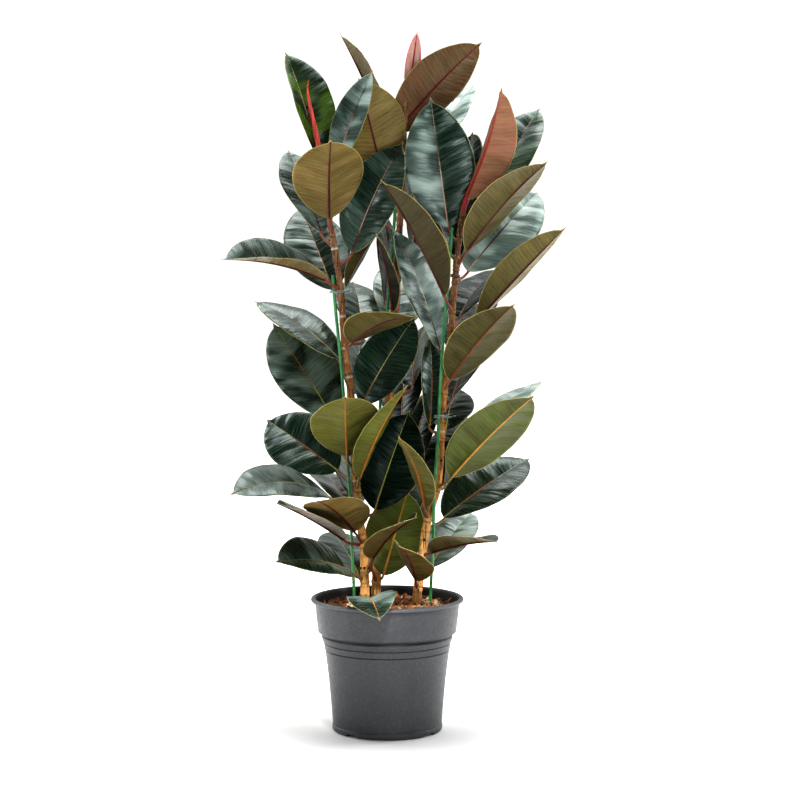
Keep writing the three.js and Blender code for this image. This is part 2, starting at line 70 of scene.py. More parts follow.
SOIL_HEIGHT = 189
SOIL_MOUND = 7
SOIL_RADIUS = 109.5  # where the bark meets the pot's wall
STEM_FOOT = 150  # the stems and stakes start this low in the bark
STAKE_RADIUS = 2.5
TIE_RADIUS = 0.9
TIE_COAT = 1.05  # the coated wire's radius as a multiple of that
TIE_SLACK = 1.2  # between the wire and what it holds
TIE_WINDING = {"points": 49, "from": 16, "sweep": 688, "climb": 4.4, "tail_rise": 12}  # angles in degrees

PETIOLE_ROOT = 2.7
PETIOLE_BLADE = 1.9
BODY_END = 0.955  # share of the blade's length where its oval would close
BODY_FULLNESS = 0.62
TIP_START = 0.93
TIP_WIDTH = 0.11
TIP_END = 0.012

# ---- Stems, stakes and ties: x, y, z and radius ----

STEMS = {
    "left": [
        (-36, 50, STEM_FOOT, 7.2), (-36, 50, 198, 7.2), (-36, 50, 237, 6.9), (-38, 50, 285, 6.6),
        (-48, 48, 365, 6.2), (-57, 45, 516, 5.7), (-67, 44, 603, 5.3), (-73, 42, 687, 5),
        (-80, 40, 740, 4.8), (-91, 38, 804, 4.5), (-102, 36, 885, 4.2), (-107, 35, 912, 4),
        (-112, 34, 940, 3.6), (-120, 33, 975, 2.8), (-124, 32, 1000, 1.6), (-123, 32, 1016, 0.7),
    ],
    "centre": [
        (-17, 75, STEM_FOOT, 7.4), (-17, 75, 199, 7.4), (-18, 75, 220, 7.2), (-7, 78, 386, 6.4),
        (4, 80, 546, 5.8), (14, 80, 705, 5.2), (22, 78, 832, 4.7), (26, 75, 926, 4.3),
        (29, 72, 985, 3.4), (32, 71, 1002, 2),
    ],
    "right": [
        (46, 7, STEM_FOOT, 7), (46, 7, 190, 7), (48, 7, 220, 6.8), (62, 8, 322, 6.3),
        (80, 8, 393, 5.7), (87, 8, 511, 5.3), (97, 8, 597, 5), (103, 8, 675, 4.8),
        (109, 8, 741, 4.6), (113, 6, 780, 4.3), (119, 3, 818, 4.4), (124, 0, 834, 4.2),
        (129, -3, 850, 2.6), (134, -5, 866, 0.8),
    ],
}
PALE_RINGS = {"left": (755, 649, 599, 553, 388), "centre": (640,), "right": (596, 470)}
# Old buds and root scars on the stems: height, bearing, radius and whether dark.
KNOBS = {
    "left": [
        (248, -148, 2.1, 1), (249, -92, 2.2, 1), (248, -34, 2.1, 1), (725, -60, 2.6, 0), (689, -120, 2.4, 0),
    ],
    "centre": [(300, -80, 2.2, 1), (262, -110, 2.0, 1)],
    "right": [
        (759, -70, 2.6, 0), (730, -100, 2.8, 0), (660, -60, 2.6, 0), (617, -110, 2.6, 0), (536, -70, 2.8, 0),
        (498, -40, 2.6, 1), (458, -110, 2.8, 0), (425, -60, 2.4, 1), (300, -100, 2.4, 1),
    ],
}
KNOB_SCAR = 1.33  # the scar value that makes a dark knob wholly dark
SHEATH_FROM = {"left": 912, "centre": 985, "right": 822}  # the stem's tip above is a red sheath
STEM_SEEDS = {"left": 11, "centre": 12, "right": 13}
RING = {"ridge": (1.7, 0.75), "groove": (0.8, 0.3), "below": 2.6, "swell": (7, 0.35), "above": 5, "pale": 1.5}
OLD_SCARS = {"lowest": 205.0, "clear": 7, "apart": (26, 55), "size": (0.35, 0.8)}

STAKES = {
    "left": [
        (-53, 55, STEM_FOOT), (-53, 55, 198), (-57, 52, 293), (-59, 48, 365), (-62, 46, 405),
        (-68.5, 42, 516), (-75, 39, 595), (-82, 38, 666), (-85.5, 36, 714),
    ],
    "centre": [
        (-13, 88, STEM_FOOT), (-13, 88, 200), (-15, 88, 320), (-14, 82, 450), (-6, 75, 600),
        (5, 72, 705), (13, 69, 830),
    ],
    "right": [
        (68, 22, STEM_FOOT), (68, 22, 200), (72, -2, 305), (73, -4, 366), (75, -1, 402),
        (79, 0, 457), (82, 0, 528), (88, 0, 629), (94, 0, 699), (99, 0, 768), (101, 0, 788),
    ],
}

# name, stem, height, bearing and length of the tails, look
TIES = [
    ("tie_left_upper", "left", 687, -20, 20, "pale"),
    ("tie_left_lower", "left", 432, 160, 8, "green"),
    ("tie_right_upper", "right", 713, -60, 9, "dark"),
    ("tie_right_lower", "right", 494, -15, 15, "pale"),
]

# The camera, in metres, millimetres of lens and degrees below level. Softboxes as name, place and
# size in metres and power in watts. The room's strength in front of the plant and behind it. The
# floor's own glow by distance from the pot: painted light that makes the floor white far off, and
# weak near the pot, where it paints a shadow round it.
CAMERA = {"place": (0.020, -3.400, 0.773), "pitch": 4.26, "lens": 98.4, "sensor": 36, "sees": 60}
LIGHT_TARGET = (0, 0, 0.65)
LIGHTS = [
    ("front", (0.8, -2.9, 1.25), (0.8, 1.4), 24),
    ("top", (0.3, 0.5, 3.1), (2.8, 2.2), 110),
    ("back_left", (-2.2, 1.5, 2.1), (1.3, 1.5), 34),
    ("back_right", (2.6, 0.8, 1.8), (1.2, 1.5), 30),
    ("left", (-2.9, -0.9, 1.0), (0.7, 1.4), 11),
]
BARK_SPOT = {
    "place": (0.1, -0.75, 0.95), "target": (0.0, -0.02, 0.2), "angle": 13, "power": 70,
    "blend": 0.6, "radius": 0.05,
}
ROOM_COLOUR = (0.95, 0.98, 0.95, 1)
ROOM_FRONT = 0.06
ROOM_BACK = 0.85
FLOOR_GLOW = {"from": 0.1, "to": 0.6, "near": 0.02, "far": 1.0}
# The middle of the painted shadow on the floor, where its glow is weakest.
PAINTED_SHADOW_CENTRE = (0.008, 0.04, 0.0)  # the shadow lies a little behind the pot
FLOOR_RADIUS = 9000
FLOOR_SIDES = 64

# ---- Leaves ----
# Bearing 0 is +X and 90 is +Y, rise is above level, both in degrees. The stalk is bearing, rise
# and length, the blade bearing, rise, length and width. Roll turns the blade about its midrib,
# droop bends it down from base to tip, fold lifts each half. Tone is the underside's age, from 0,
# salmon and new, through brown and olive to 1, bright green. A joined leaf belongs to its stem's
# node.


def leaf(name, at, stalk, blade, bend, tone, joined=False):
    roll, droop, fold = bend
    return {
        "name": name, "stem": name.split("_")[0], "at": at, "stalk": stalk, "blade": blade,
        "roll": roll, "droop": droop, "fold": fold, "tone": tone, "joined": joined,
    }


LEAVES = [
    leaf("left_01", 205, (-86, 3, 88), (-81, -4, 127, 76), (8, 56, 12), 0.8),
    leaf("left_02", 221, (110, 15, 22), (110, 21, 165, 92), (2, 20, 6), 0.8),
    leaf("left_03", 226, (-133, 33, 38), (-131, 11, 175, 100), (-33, 30, 12), 0.7),
    leaf("left_04", 283, (-150, 20, 38), (-139, 27, 154, 86), (-10, 12, 12), 0.3),
    leaf("left_05", 284, (-120, 43, 38), (-110, 23, 170, 100), (10, 20, 10), 0.4),
    leaf("left_06", 326, (-10, 34, 29), (17, 70, 166, 108), (60, 20, 5), 0.6),
    leaf("left_07", 328, (128, 23, 34), (106, 14, 177, 93), (17, 18, 4), 0.7, True),
    leaf("left_08", 335, (-154, 30, 59), (-144, 5, 187, 104), (-24, 56, 6), 0.6),
    leaf("left_09", 344, (117, 23, 33), (101, 28, 165, 90), (40, 20, 3), 0.7, True),
    leaf("left_10", 373, (-80, 40, 36), (-44, 55, 184, 94), (18, 16, 12), 0.72),
    leaf("left_11", 383, (137, 23, 45), (140, 25, 172, 108), (-47, 20, 8), 0.6),
    leaf("left_12", 402, (-118, 44, 38), (-90, 39, 165, 110), (8, 20, 8), 0.66),
    leaf("left_13", 472, (153, 20, 38), (143, 50, 194, 117), (-28, 7, 8), 0.6),
    leaf("left_14", 501, (-44, 23, 24), (19, 57, 164, 93), (48, 20, 8), 0.55),
    leaf("left_15", 516, (93, 18, 32), (85, 33, 165, 90), (47, 18, 5), 0.55, True),
    leaf("left_16", 561, (123, 33, 35), (147, 28, 188, 89), (-12, 32, 4), 0.55),
    leaf("left_17", 597, (-66, 27, 26), (-57, 15, 181, 95), (-8, 20, 12), 0.5),
    leaf("left_18", 603, (50, 13, 43), (97, 30, 174, 91), (14, 24, 8), 0.5, True),
    leaf("left_19", 688, (-128, 26, 42), (-146, 10, 188, 102), (-22, 25, 30), 0.42),
    leaf("left_20", 674, (121, 29, 33), (118, 48, 180, 104), (-18, 10, 3), 0.45),
    leaf("left_21", 725, (-11, 47, 33), (7, 65, 192, 103), (52, 19, 12), 0.45),
    leaf("left_22", 754, (138, 43, 41), (125, 53, 165, 97), (2, 14, 7), 0.45),
    leaf("left_23", 776, (-100, 47, 35), (-87, 43, 170, 113), (8, 24, 11), 0.42),
    leaf("left_24", 846, (-37, 58, 33), (5, 69, 170, 57), (60, 19, 21), 0.4),
    leaf("left_25", 874, (120, 52, 30), (138, 67, 184, 98), (-4, 15, 31), 0.3),
    leaf("centre_01", 222, (-35, 41, 18), (-40, 70, 150, 95), (-50, 15, 5), 0.92),
    leaf("centre_02", 217, (-98, 52, 62), (-59, 31, 155, 86), (20, 20, 15), 0.45),
    leaf("centre_03", 265, (43, 9, 44), (74, 24, 160, 80), (-38, 20, 8), 0.8, True),
    leaf("centre_04", 289, (42, 21, 44), (81, 25, 155, 80), (40, 20, 8), 0.8, True),
    leaf("centre_05", 329, (33, 28, 46), (70, 21, 165, 80), (-28, 20, 8), 0.75, True),
    leaf("centre_06", 370, (18, 23, 42), (61, 57, 175, 83), (-17, 12, 3), 0.7, True),
    leaf("centre_07", 458, (43, 18, 35), (82, 50, 174, 93), (-36, 14, 2), 0.65, True),
    leaf("centre_08", 514, (26, 28, 47), (79, 33, 175, 85), (-40, 20, 8), 0.6, True),
    leaf("centre_09", 602, (80, 32, 42), (86, 37, 179, 95), (16, 20, 8), 0.55),
    leaf("centre_10", 633, (-91, 41, 35), (-110, 58, 145, 52), (-62, 15, 28), 0.5),
    leaf("centre_11", 657, (119, 26, 34), (96, 61, 175, 85), (56, 20, 8), 0.5, True),
    leaf("centre_12", 734, (44, 31, 37), (96, 48, 175, 84), (54, 20, 15), 0.5, True),
    leaf("centre_13", 776, (152, 20, 36), (178, -60, 115, 66), (16, 20, 8), 0.5),
    leaf("centre_14", 792, (101, 34, 35), (98, 60, 175, 85), (52, 20, 8), 0.45, True),
    leaf("centre_15", 858, (-165, 35, 42), (-140, 72, 145, 112), (51, 12, 10), 0.45),
    leaf("centre_16", 876, (31, 28, 48), (50, 44, 176, 83), (-2, 20, 7), 0.4),
    leaf("centre_17", 910, (151, 29, 30), (148, 62, 198, 77), (38, 10, 18), 0.42),
    leaf("centre_18", 926, (171, 44, 18), (-13, 45, 196, 96), (-50, 19, 13), 0.22),
    leaf("centre_19", 980, (2, 70, 12), (-45, 79, 106, 25), (-48, 8, 14), 0.0),
    leaf("right_01", 220, (-99, 42, 27), (-102, 29, 146, 75), (-28, 20, 19), 0.48),
    leaf("right_02", 228, (63, 30, 42), (61, 26, 167, 88), (2, 15, 6), 0.8),
    leaf("right_03", 274, (-54, 19, 26), (-54, 12, 170, 84), (-5, 12, 18), 0.5),
    leaf("right_04", 315, (36, 24, 39), (37, 25, 196, 110), (20, 18, 8), 0.7),
    leaf("right_05", 330, (-108, 54, 28), (-110, 45, 171, 67), (-35, 24, 10), 0.62),
    leaf("right_06", 374, (47, 26, 25), (78, 34, 170, 92), (-28, 22, 13), 0.7, True),
    leaf("right_07", 379, (-42, 34, 37), (-37, 41, 206, 108), (-28, 14, 5), 0.85),
    leaf("right_08", 433, (25, 21, 59), (43, 28, 186, 87), (-7, 25, 2), 0.65),
    leaf("right_09", 456, (63, 40, 23), (83, 22, 157, 77), (4, 12, 2), 0.65, True),
    leaf("right_10", 462, (180, 45, 25), (91, 71, 149, 58), (42, 19, 12), 0.6),
    leaf("right_11", 500, (57, 35, 35), (70, 27, 168, 90), (-24, 20, 8), 0.6, True),
    leaf("right_12", 531, (-62, 49, 28), (-47, 41, 184, 94), (-18, 20, 6), 0.55),
    leaf("right_13", 574, (58, 33, 35), (67, 28, 170, 91), (-18, 20, 8), 0.55, True),
    leaf("right_14", 578, (120, 40, 31), (156, 67, 207, 104), (-12, 15, 9), 0.5),
    leaf("right_15", 616, (-32, 31, 56), (-28, 44, 208, 69), (-31, 4, 35), 0.52),
    leaf("right_16", 628, (63, 31, 37), (63, 25, 175, 93), (-10, 32, 8), 0.5, True),
    leaf("right_17", 657, (-116, 42, 38), (-153, 58, 209, 90), (2, 11, 32), 0.48),
    leaf("right_18", 702, (48, 29, 36), (36, 41, 192, 118), (35, 21, 7), 0.5),
    leaf("right_19", 722, (78, 35, 35), (100, 40, 165, 80), (-40, 20, 8), 0.5, True),
    leaf("right_20", 728, (-51, 44, 35), (-30, 44, 194, 97), (-14, 20, 13), 0.5),
    leaf("right_21", 734, (118, 38, 35), (109, 31, 165, 85), (26, 20, 8), 0.5, True),
    leaf("right_22", 761, (140, 52, 34), (149, 81, 205, 110), (-57, 9, 5), 0.45),
    leaf("right_23", 776, (29, 47, 72), (36, 54, 184, 103), (16, 18, 8), 0.45),
    leaf("right_24", 792, (68, 25, 38), (85, 53, 168, 78), (-38, 20, 8), 0.45, True),
    leaf("right_25", 807, (-72, 56, 29), (-63, 56, 200, 88), (-78, 17, 39), 0.0),
]
YOUNG_LEAVES = ("centre_19", "right_25")
# Inner leaves whose upper side is darkened by painted shade.
PAINTED_SHADE_LEAVES = ("left_06",)  # inner leaves that the light hardly reaches

# A factor on the colour of a leaf's underside, where less is darker: partly how dark the leaf's own colour
# is, and partly painted shade on leaves that lie in shade, darkest on centre_10.
USUAL_SHADE = 0.7
UNDER_COLOUR_AND_PAINTED_SHADE = {
    "left_05": 0.95, "left_10": 0.95, "left_12": 0.85, "left_17": 0.5, "left_23": 0.95, "left_04": 0.5,
    "left_19": 0.7, "centre_01": 0.65, "centre_02": 0.7, "centre_10": 0.08, "centre_15": 1.3,
    "centre_17": 0.72, "centre_18": 0.66, "right_01": 0.48, "right_03": 0.4, "right_05": 0.75,
    "right_07": 0.46, "right_12": 0.38, "right_15": 0.68, "right_17": 0.26, "right_20": 0.54,
    "right_25": 0.95,
}
# How much painted reflection, a pale streaked grey-green, lies on a leaf's upper side, left and right of its
# midrib.
PAINTED_REFLECTION = {
    "left_01": (0.4, 0.4), "left_03": (0.0, 0.1), "left_08": (0.3, 0.2), "left_13": (0.35, 0.2),
    "left_16": (0.4, 0.05), "left_19": (0.3, 0.2), "left_20": (0.2, 0.1), "left_21": (0.08, 0.05),
    "left_22": (0.3, 0.2), "left_24": (0.25, 0.8), "right_02": (0.8, 0.8), "right_08": (0.9, 0.9),
    "right_14": (0.72, 0.85), "right_18": (0.84, 0.88), "right_22": (0.78, 0.08), "right_23": (0.2, 0.05),
    "centre_09": (0.6, 0.6), "centre_13": (0.5, 0.5), "centre_16": (0.8, 0.8),
}
GREEN = {"left_25": 1.0, "right_23": 0.2, "left_13": 0.2}  # how yellow-green the upper side is

# ---- Mesh helpers ----


def link(thing):
    bpy.context.scene.collection.objects.link(thing)
    return thing


def new_piece(name, points, faces, materials, face_materials=None, smooth=True):
    """A mesh object from points in millimetres."""
    mesh = bpy.data.meshes.new(name)
    mesh.from_pydata((np.asarray(points) * MM).tolist(), [], faces)
    for material in materials:
        mesh.materials.append(material)
    if face_materials is not None:
        mesh.polygons.foreach_set("material_index", face_materials)
    mesh.polygons.foreach_set("use_smooth", [smooth] * len(mesh.polygons))
    mesh.update()
    return link(bpy.data.objects.new(name, mesh))


def give(piece, name, values):
    """Stores one number or one vector for each point of a piece."""
    values = np.asarray(values, np.float32)
    kind = ("FLOAT", "value") if values.ndim == 1 else ("FLOAT_VECTOR", "vector")
    attribute = piece.data.attributes.new(name, kind[0], "POINT")
    attribute.data.foreach_set(kind[1], values.ravel())


def part_of_plant(piece, slot, *nodes):
    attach(piece, "root")
    if nodes:
        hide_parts(*nodes)
    return piece


def grid_faces(rows, columns, start=0, closed=False, flip=False):
    """Quads of a grid of points, row after row. A closed grid joins its last column to its first."""
    i, j = np.meshgrid(np.arange(rows - 1), np.arange(columns if closed else columns - 1), indexing="ij")
    k = (j + 1) % columns
    quads = np.stack([i * columns + j, i * columns + k, (i + 1) * columns + k, (i + 1) * columns + j], -1)
    quads = quads.reshape(-1, 4) + start
    return (quads[:, ::-1] if flip else quads).tolist()


def caps(count, sides):
    """The end faces of a tube of points, ring after ring."""
    return [list(range(sides)), list(range(count - 1, count - sides - 1, -1))]


def smooth_path(points, step):
    """Points through the given ones on a Catmull-Rom curve, about a step apart."""
    p = np.asarray(points, float)
    p = np.vstack([2 * p[0] - p[1], p, 2 * p[-1] - p[-2]])
    path = []
    for a, b, c, d in zip(p, p[1:], p[2:], p[3:]):
        count = max(2, int(np.linalg.norm((c - b)[:3]) / step))
        for t in np.arange(count) / count:
            square, cube = 2 * a - 5 * b + 4 * c - d, 3 * b - a - 3 * c + d
            path.append(0.5 * (2 * b + (c - a) * t + square * t**2 + cube * t**3))
    path.append(p[-2])
    return np.array(path)


def hump(away, width):
    """One where a distance is nothing, falling off smoothly over a width."""
    return np.exp(-((away / width) ** 2))


def frames_along(path):
    """A forward, side and up direction at each point of a path, without twist."""
    forward = np.gradient(path, axis=0)
    forward /= np.linalg.norm(forward, axis=1, keepdims=True)
    guess = np.array([1.0, 0, 0]) if abs(forward[0][0]) < 0.8 else np.array([0, 1.0, 0])
    ups = []
    for f in forward:
        guess = guess - f * guess.dot(f)
        guess = guess / np.linalg.norm(guess)
        ups.append(guess)
    ups = np.array(ups)
    return forward, np.cross(forward, ups), ups


def tube(path, radii, sides):
    """Points and faces of a closed tube; radii is one number per point or one row of numbers."""
    path = np.asarray(path, float)
    _, side, up = frames_along(path)
    radii = np.asarray(radii, float)
    if radii.ndim == 1:
        radii = radii[:, None]
    radii = np.broadcast_to(radii, (len(path), sides))
    turn = 2 * np.pi * np.arange(sides) / sides
    ring = side[:, None] * np.cos(turn)[None, :, None] + up[:, None] * np.sin(turn)[None, :, None]
    points = path[:, None] + ring * radii[:, :, None]
    faces = grid_faces(len(path), sides, closed=True, flip=True) + caps(len(path) * sides, sides)
    return points.reshape(-1, 3), faces


def wobble(points, scale, seed):
    """A smooth random number between about -1 and 1 at each point."""
    shift = Vector((seed * 13.7, seed * 5.1, seed * 9.3))
    return np.array([noise.noise(Vector(p) * scale + shift) for p in points])


def fix_normals(piece):
    """Turns every face of a closed piece outwards."""
    made = bmesh.new()
    made.from_mesh(piece.data)
    bmesh.ops.recalc_face_normals(made, faces=made.faces)
    made.to_mesh(piece.data)
    made.free()


def apply_modifiers(piece):
    graph = bpy.context.evaluated_depsgraph_get()
    mesh = bpy.data.meshes.new_from_object(piece.evaluated_get(graph))
    piece.modifiers.clear()
    piece.data = mesh


def sharpen(piece, degrees):
    """Keeps edges steeper than an angle sharp under smooth shading."""
    piece.data.polygons.foreach_set("use_smooth", [True] * len(piece.data.polygons))
    piece.data.set_sharp_from_angle(angle=math.radians(degrees))


# ---- Shader helpers ----


class Nodes:
    """A node tree whose nodes are added one by one."""

    def __init__(self, tree):
        self.tree = tree

    def add(self, kind, inputs=None, **settings):
        made = self.tree.nodes.new(kind)
        for key, value in settings.items():
            setattr(made, key, value)
        for key, value in (inputs or {}).items():
            self.put(value, made.inputs[key])
        return made

    def put(self, value, socket):
        """Gives a socket a link, a number, a vector or a colour written as #rrggbb."""
        if isinstance(value, bpy.types.NodeSocket):
            self.tree.links.new(value, socket)
        else:
            socket.default_value = hex_colour(value) if isinstance(value, str) else value

    def ramp(self, value, low, high, to_low=0.0, to_high=1.0):
        """Maps a number from one range to another, held at the ends."""
        ends = {"From Min": low, "From Max": high, "To Min": to_low, "To Max": to_high}
        made = self.add("ShaderNodeMapRange", {"Value": value, **ends}, interpolation_type="SMOOTHSTEP")
        return made.outputs[0]


class Look(Nodes):
    """A material's shader and the nodes that feed it."""

    def __init__(self, name, **fixed):
        self.material = bpy.data.materials.new(name)
        self.material.use_nodes = True
        super().__init__(self.material.node_tree)
        self.shader = self.tree.nodes["Principled BSDF"]
        self.set(**fixed)

    def set(self, **values):
        """Puts values on the shader's sockets and returns the material."""
        for key, value in values.items():
            self.put(value, self.shader.inputs[key.replace("_", " ")])
        return self.material

    def math(self, operation, a, b=0.0):
        return self.add("ShaderNodeMath", {0: a, 1: b}, operation=operation).outputs[0]

    def times(self, a, b):
        return self.math("MULTIPLY", a, b)

    def rest(self, value):
        """What a share leaves of one."""
        return self.math("SUBTRACT", 1.0, value)

    def weigh(self, a, weight_a, b, weight_b):
        """The sum of two numbers, each times its weight."""
        return self.math("ADD", self.times(a, weight_a), self.times(b, weight_b))

    def mix(self, share, a, b, blend="MIX"):
        made = self.add("ShaderNodeMix", data_type="RGBA", blend_type=blend)
        sockets = [s for s in made.inputs if s.enabled]
        for value, socket in zip((share, a, b), sockets):
            self.put(value, socket)
        return [s for s in made.outputs if s.enabled][0]

    def layers(self, body, *coats):
        """Lays colours over the body in turn, each where its mask is and up to a share of it."""
        for colour, mask, share in coats:
            body = self.mix(self.times(mask, share), body, colour)
        return body

    def colours(self, value, stops):
        """The colour at a value, between stops that each have a position and a colour."""
        made = self.add("ShaderNodeValToRGB", {"Fac": value})
        elements = made.color_ramp.elements
        while len(elements) < len(stops):
            elements.new(0.5)
        for element, (position, colour) in zip(elements, stops):
            element.position = position
            element.color = hex_colour(colour)
        return made.outputs["Color"]

    def noise(self, scale, detail=3.0, roughness=0.55, stretch=None):
        place = self.add("ShaderNodeTexCoord").outputs["Object"]
        if stretch:
            place = self.add("ShaderNodeMapping", {"Vector": place, "Scale": stretch}).outputs[0]
        inputs = {"Vector": place, "Scale": scale, "Detail": detail, "Roughness": roughness}
        return self.add("ShaderNodeTexNoise", inputs).outputs["Fac"]

    def attribute(self, name, part=None):
        made = self.add("ShaderNodeAttribute", attribute_name=name)
        if part is None:
            return made.outputs["Fac"]
        return self.add("ShaderNodeSeparateXYZ", {0: made.outputs["Vector"]}).outputs[part]

    def bump(self, height, distance, below=None):
        inputs = {"Height": height, "Distance": distance}
        if below is not None:
            inputs["Normal"] = below
        return self.add("ShaderNodeBump", inputs).outputs[0]


def hex_colour(text):
    """Linear colour from a hex string."""
    channels = [int(text[i : i + 2], 16) / 255 for i in (1, 3, 5)]
    linear = [c / 12.92 if c <= 0.04045 else ((c + 0.055) / 1.055) ** 2.4 for c in channels]
    return (*linear, 1.0)

# ---- Materials ----
# A leaf's points carry leaf_place: distance along the midrib, distance across it and distance from
# the margin, in millimetres; leaf_kind: share of the blade's length, tone and a random number; and
# leaf_own: the underside's colour factor, which is partly painted shade, the upper side's painted
# reflection and how yellow-green it is. A stem's points carry stem_place: height, scar and pale
# ring. A chip's carry chip_kind: tint and distance across it. The pot's carry their painted shade:
# how far it darkens the plastic, below zero a painted highlight where it is paler.

VEIN_PITCH = 6.8  # between main side veins
VEIN_SLANT = 0.3  # how far a side vein runs forward for each millimetre outward
VEIN_WANDER = 12.0  # how far a side vein may stray
MARGIN = 1.3  # where the blade's pale edge ends

# colours of the leaves by tone, and of the stems by height
UPPER_TONES = [(0.0, "#6a3028"), (0.16, "#4a2c18"), (0.3, "#163a0c"), (0.4, "#0d2416"), (1.0, "#0b1e13")]
UNDER_TONES = [(0.0, "#925549"), (0.22, "#674026"), (0.42, "#70592f"), (0.6, "#656426"), (1.0, "#5a7c1e")]
FLUSH_TONES = [(0.0, "#a03a34"), (0.5, "#5a2a16"), (0.75, "#8a6a28"), (1.0, "#a08a34")]
STALK_TONES = [(0.0, "#b5384a"), (0.3, "#94483e"), (0.5, "#7d4a38"), (0.8, "#7a6a34"), (1.0, "#8a7a30")]
RIB_TONES = [(0.0, "#8e1c1c"), (0.3, "#3a0606"), (0.52, "#4a0a08"), (0.64, "#a8662a"), (0.9, "#c08c38")]
STEM_TONES = [(0.0, "#c48c48"), (0.3, "#b0702e"), (0.55, "#8e5a30"), (0.8, "#6b4030"), (1.0, "#5e4434")]
CHIP_TINTS = [(0.0, "#2c140a"), (0.25, "#8a4a26"), (0.5, "#cc8650"), (0.75, "#eab682"), (1.0, "#fbe2c0")]


def vein_lane(look):
    """Where on the midrib the side vein through a point begins, in millimetres."""
    outward = look.math("ABSOLUTE", look.attribute("leaf_place", 1))
    return look.math("SUBTRACT", look.attribute("leaf_place", 0), look.times(outward, VEIN_SLANT))


def stripes(look, phase, times, sharpness):
    """Narrow lines, one for each whole number of the phase times a count."""
    wave = look.math("COSINE", look.times(phase, 2 * math.pi * times))
    return look.math("POWER", look.math("ADD", look.times(wave, 0.5), 0.5), sharpness)


def side_veins(look):
    """The main side veins, a little uneven, and the finer ones between them."""
    lane = look.math("ADD", vein_lane(look), look.times(look.noise(30.0, 1.0), VEIN_WANDER))
    phase = look.math("DIVIDE", lane, VEIN_PITCH)
    return stripes(look, phase, 1, 6), stripes(look, phase, 3, 2)


def vein_streaks(look, pitch, reach, detail=2.0):
    """Uneven streaks that run along the side veins, about a pitch apart, in millimetres."""
    lane = look.math("DIVIDE", vein_lane(look), pitch)
    outward = look.math("DIVIDE", look.attribute("leaf_place", 1), reach)
    chance = look.times(look.attribute("leaf_kind", 2), 60.0)
    place = look.add("ShaderNodeCombineXYZ", {0: lane, 1: outward, 2: chance}).outputs[0]
    inputs = {"Vector": place, "Scale": 1.0, "Detail": detail, "Roughness": 0.45}
    return look.add("ShaderNodeTexNoise", inputs).outputs["Fac"]


def leaf_edge(look):
    return look.rest(look.ramp(look.attribute("leaf_place", 2), 0.3, MARGIN))


def leaf_relief(look, veins, swell_depth, ripple_depth, vein_depth):
    """Side veins on ripples on broad swells."""
    swell = look.bump(vein_streaks(look, 17.0, 70.0, 1.0), swell_depth)
    ripple = look.bump(vein_streaks(look, 5.0, 45.0, 1.0), ripple_depth, below=swell)
    return look.bump(veins, vein_depth, below=ripple)


def upper_leaf(name, shine, depth):
    """The leaf's glossy upper side, with painted reflection where a leaf has some; shine is its reflection,
    the last argument how near to black painted shade takes it.
    """
    look = Look(name, Specular_IOR_Level=shine, Specular_Tint=(0.84, 1.0, 0.95, 1.0))
    main, fine = side_veins(look)
    share, tone, chance = [look.attribute("leaf_kind", part) for part in range(3)]
    patch = look.ramp(look.noise(14.0, 4.0), 0.35, 0.7)
    bands = look.ramp(vein_streaks(look, 28.0, 60.0, 1.0), 0.4, 0.6)
    threads = look.ramp(vein_streaks(look, 2.6, 30.0), 0.35, 0.65)
    body = look.colours(tone, UPPER_TONES)
    body = look.layers(body, ("#123626", patch, 0.35), ("#071511", chance, 0.3), ("#3c6a48", main, 0.22))
    fresh = look.mix(bands, "#182804", "#48620c")
    # Painted shade takes the colour towards near black as far as the last argument says.
    body = look.layers(
        look.mix(depth, body, "#040b08"),
        (fresh, look.attribute("leaf_own", 2), 0.85),
        ("#030d08", look.rest(bands), 0.55),
        ("#2f5c40", threads, 0.08),
    )
    # Painted reflection: a pale streaked grey-green over the colour, as much as the leaf's own amount,
    # brightest in the bands.
    painted_reflection = look.attribute("leaf_own", 1)
    least = look.ramp(painted_reflection, 0.72, 1.0, 0.1, 0.85)
    streaked = look.times(bands, look.ramp(threads, 0.0, 1.0, 0.82, 1.0))
    above = look.times(look.rest(least), streaked)
    painted_reflection = look.times(painted_reflection, look.math("ADD", least, above))
    body = look.mix(painted_reflection, body, look.mix(bands, "#8aa29a", "#b4c8c1"))
    outward = look.math("ABSOLUTE", look.attribute("leaf_place", 1))
    rib_width = look.ramp(share, 0.0, 1.0, 1.5, 0.35)
    rib = look.rest(look.ramp(look.math("DIVIDE", outward, rib_width), 0.55, 1.1))
    rib_colour = look.mix(look.ramp(tone, 0.45, 0.6), "#c89480", "#b4b050")
    body = look.layers(body, (rib_colour, rib, 0.85), ("#9a9258", leaf_edge(look), 0.75))
    gloss = look.ramp(threads, 0.0, 1.0, 0.24, 0.36)
    relief = leaf_relief(look, look.weigh(main, -0.8, fine, 0.12), 0.0035, 0.0004, 0.00007)
    return look.set(Base_Color=body, Roughness=gloss, Normal=relief)


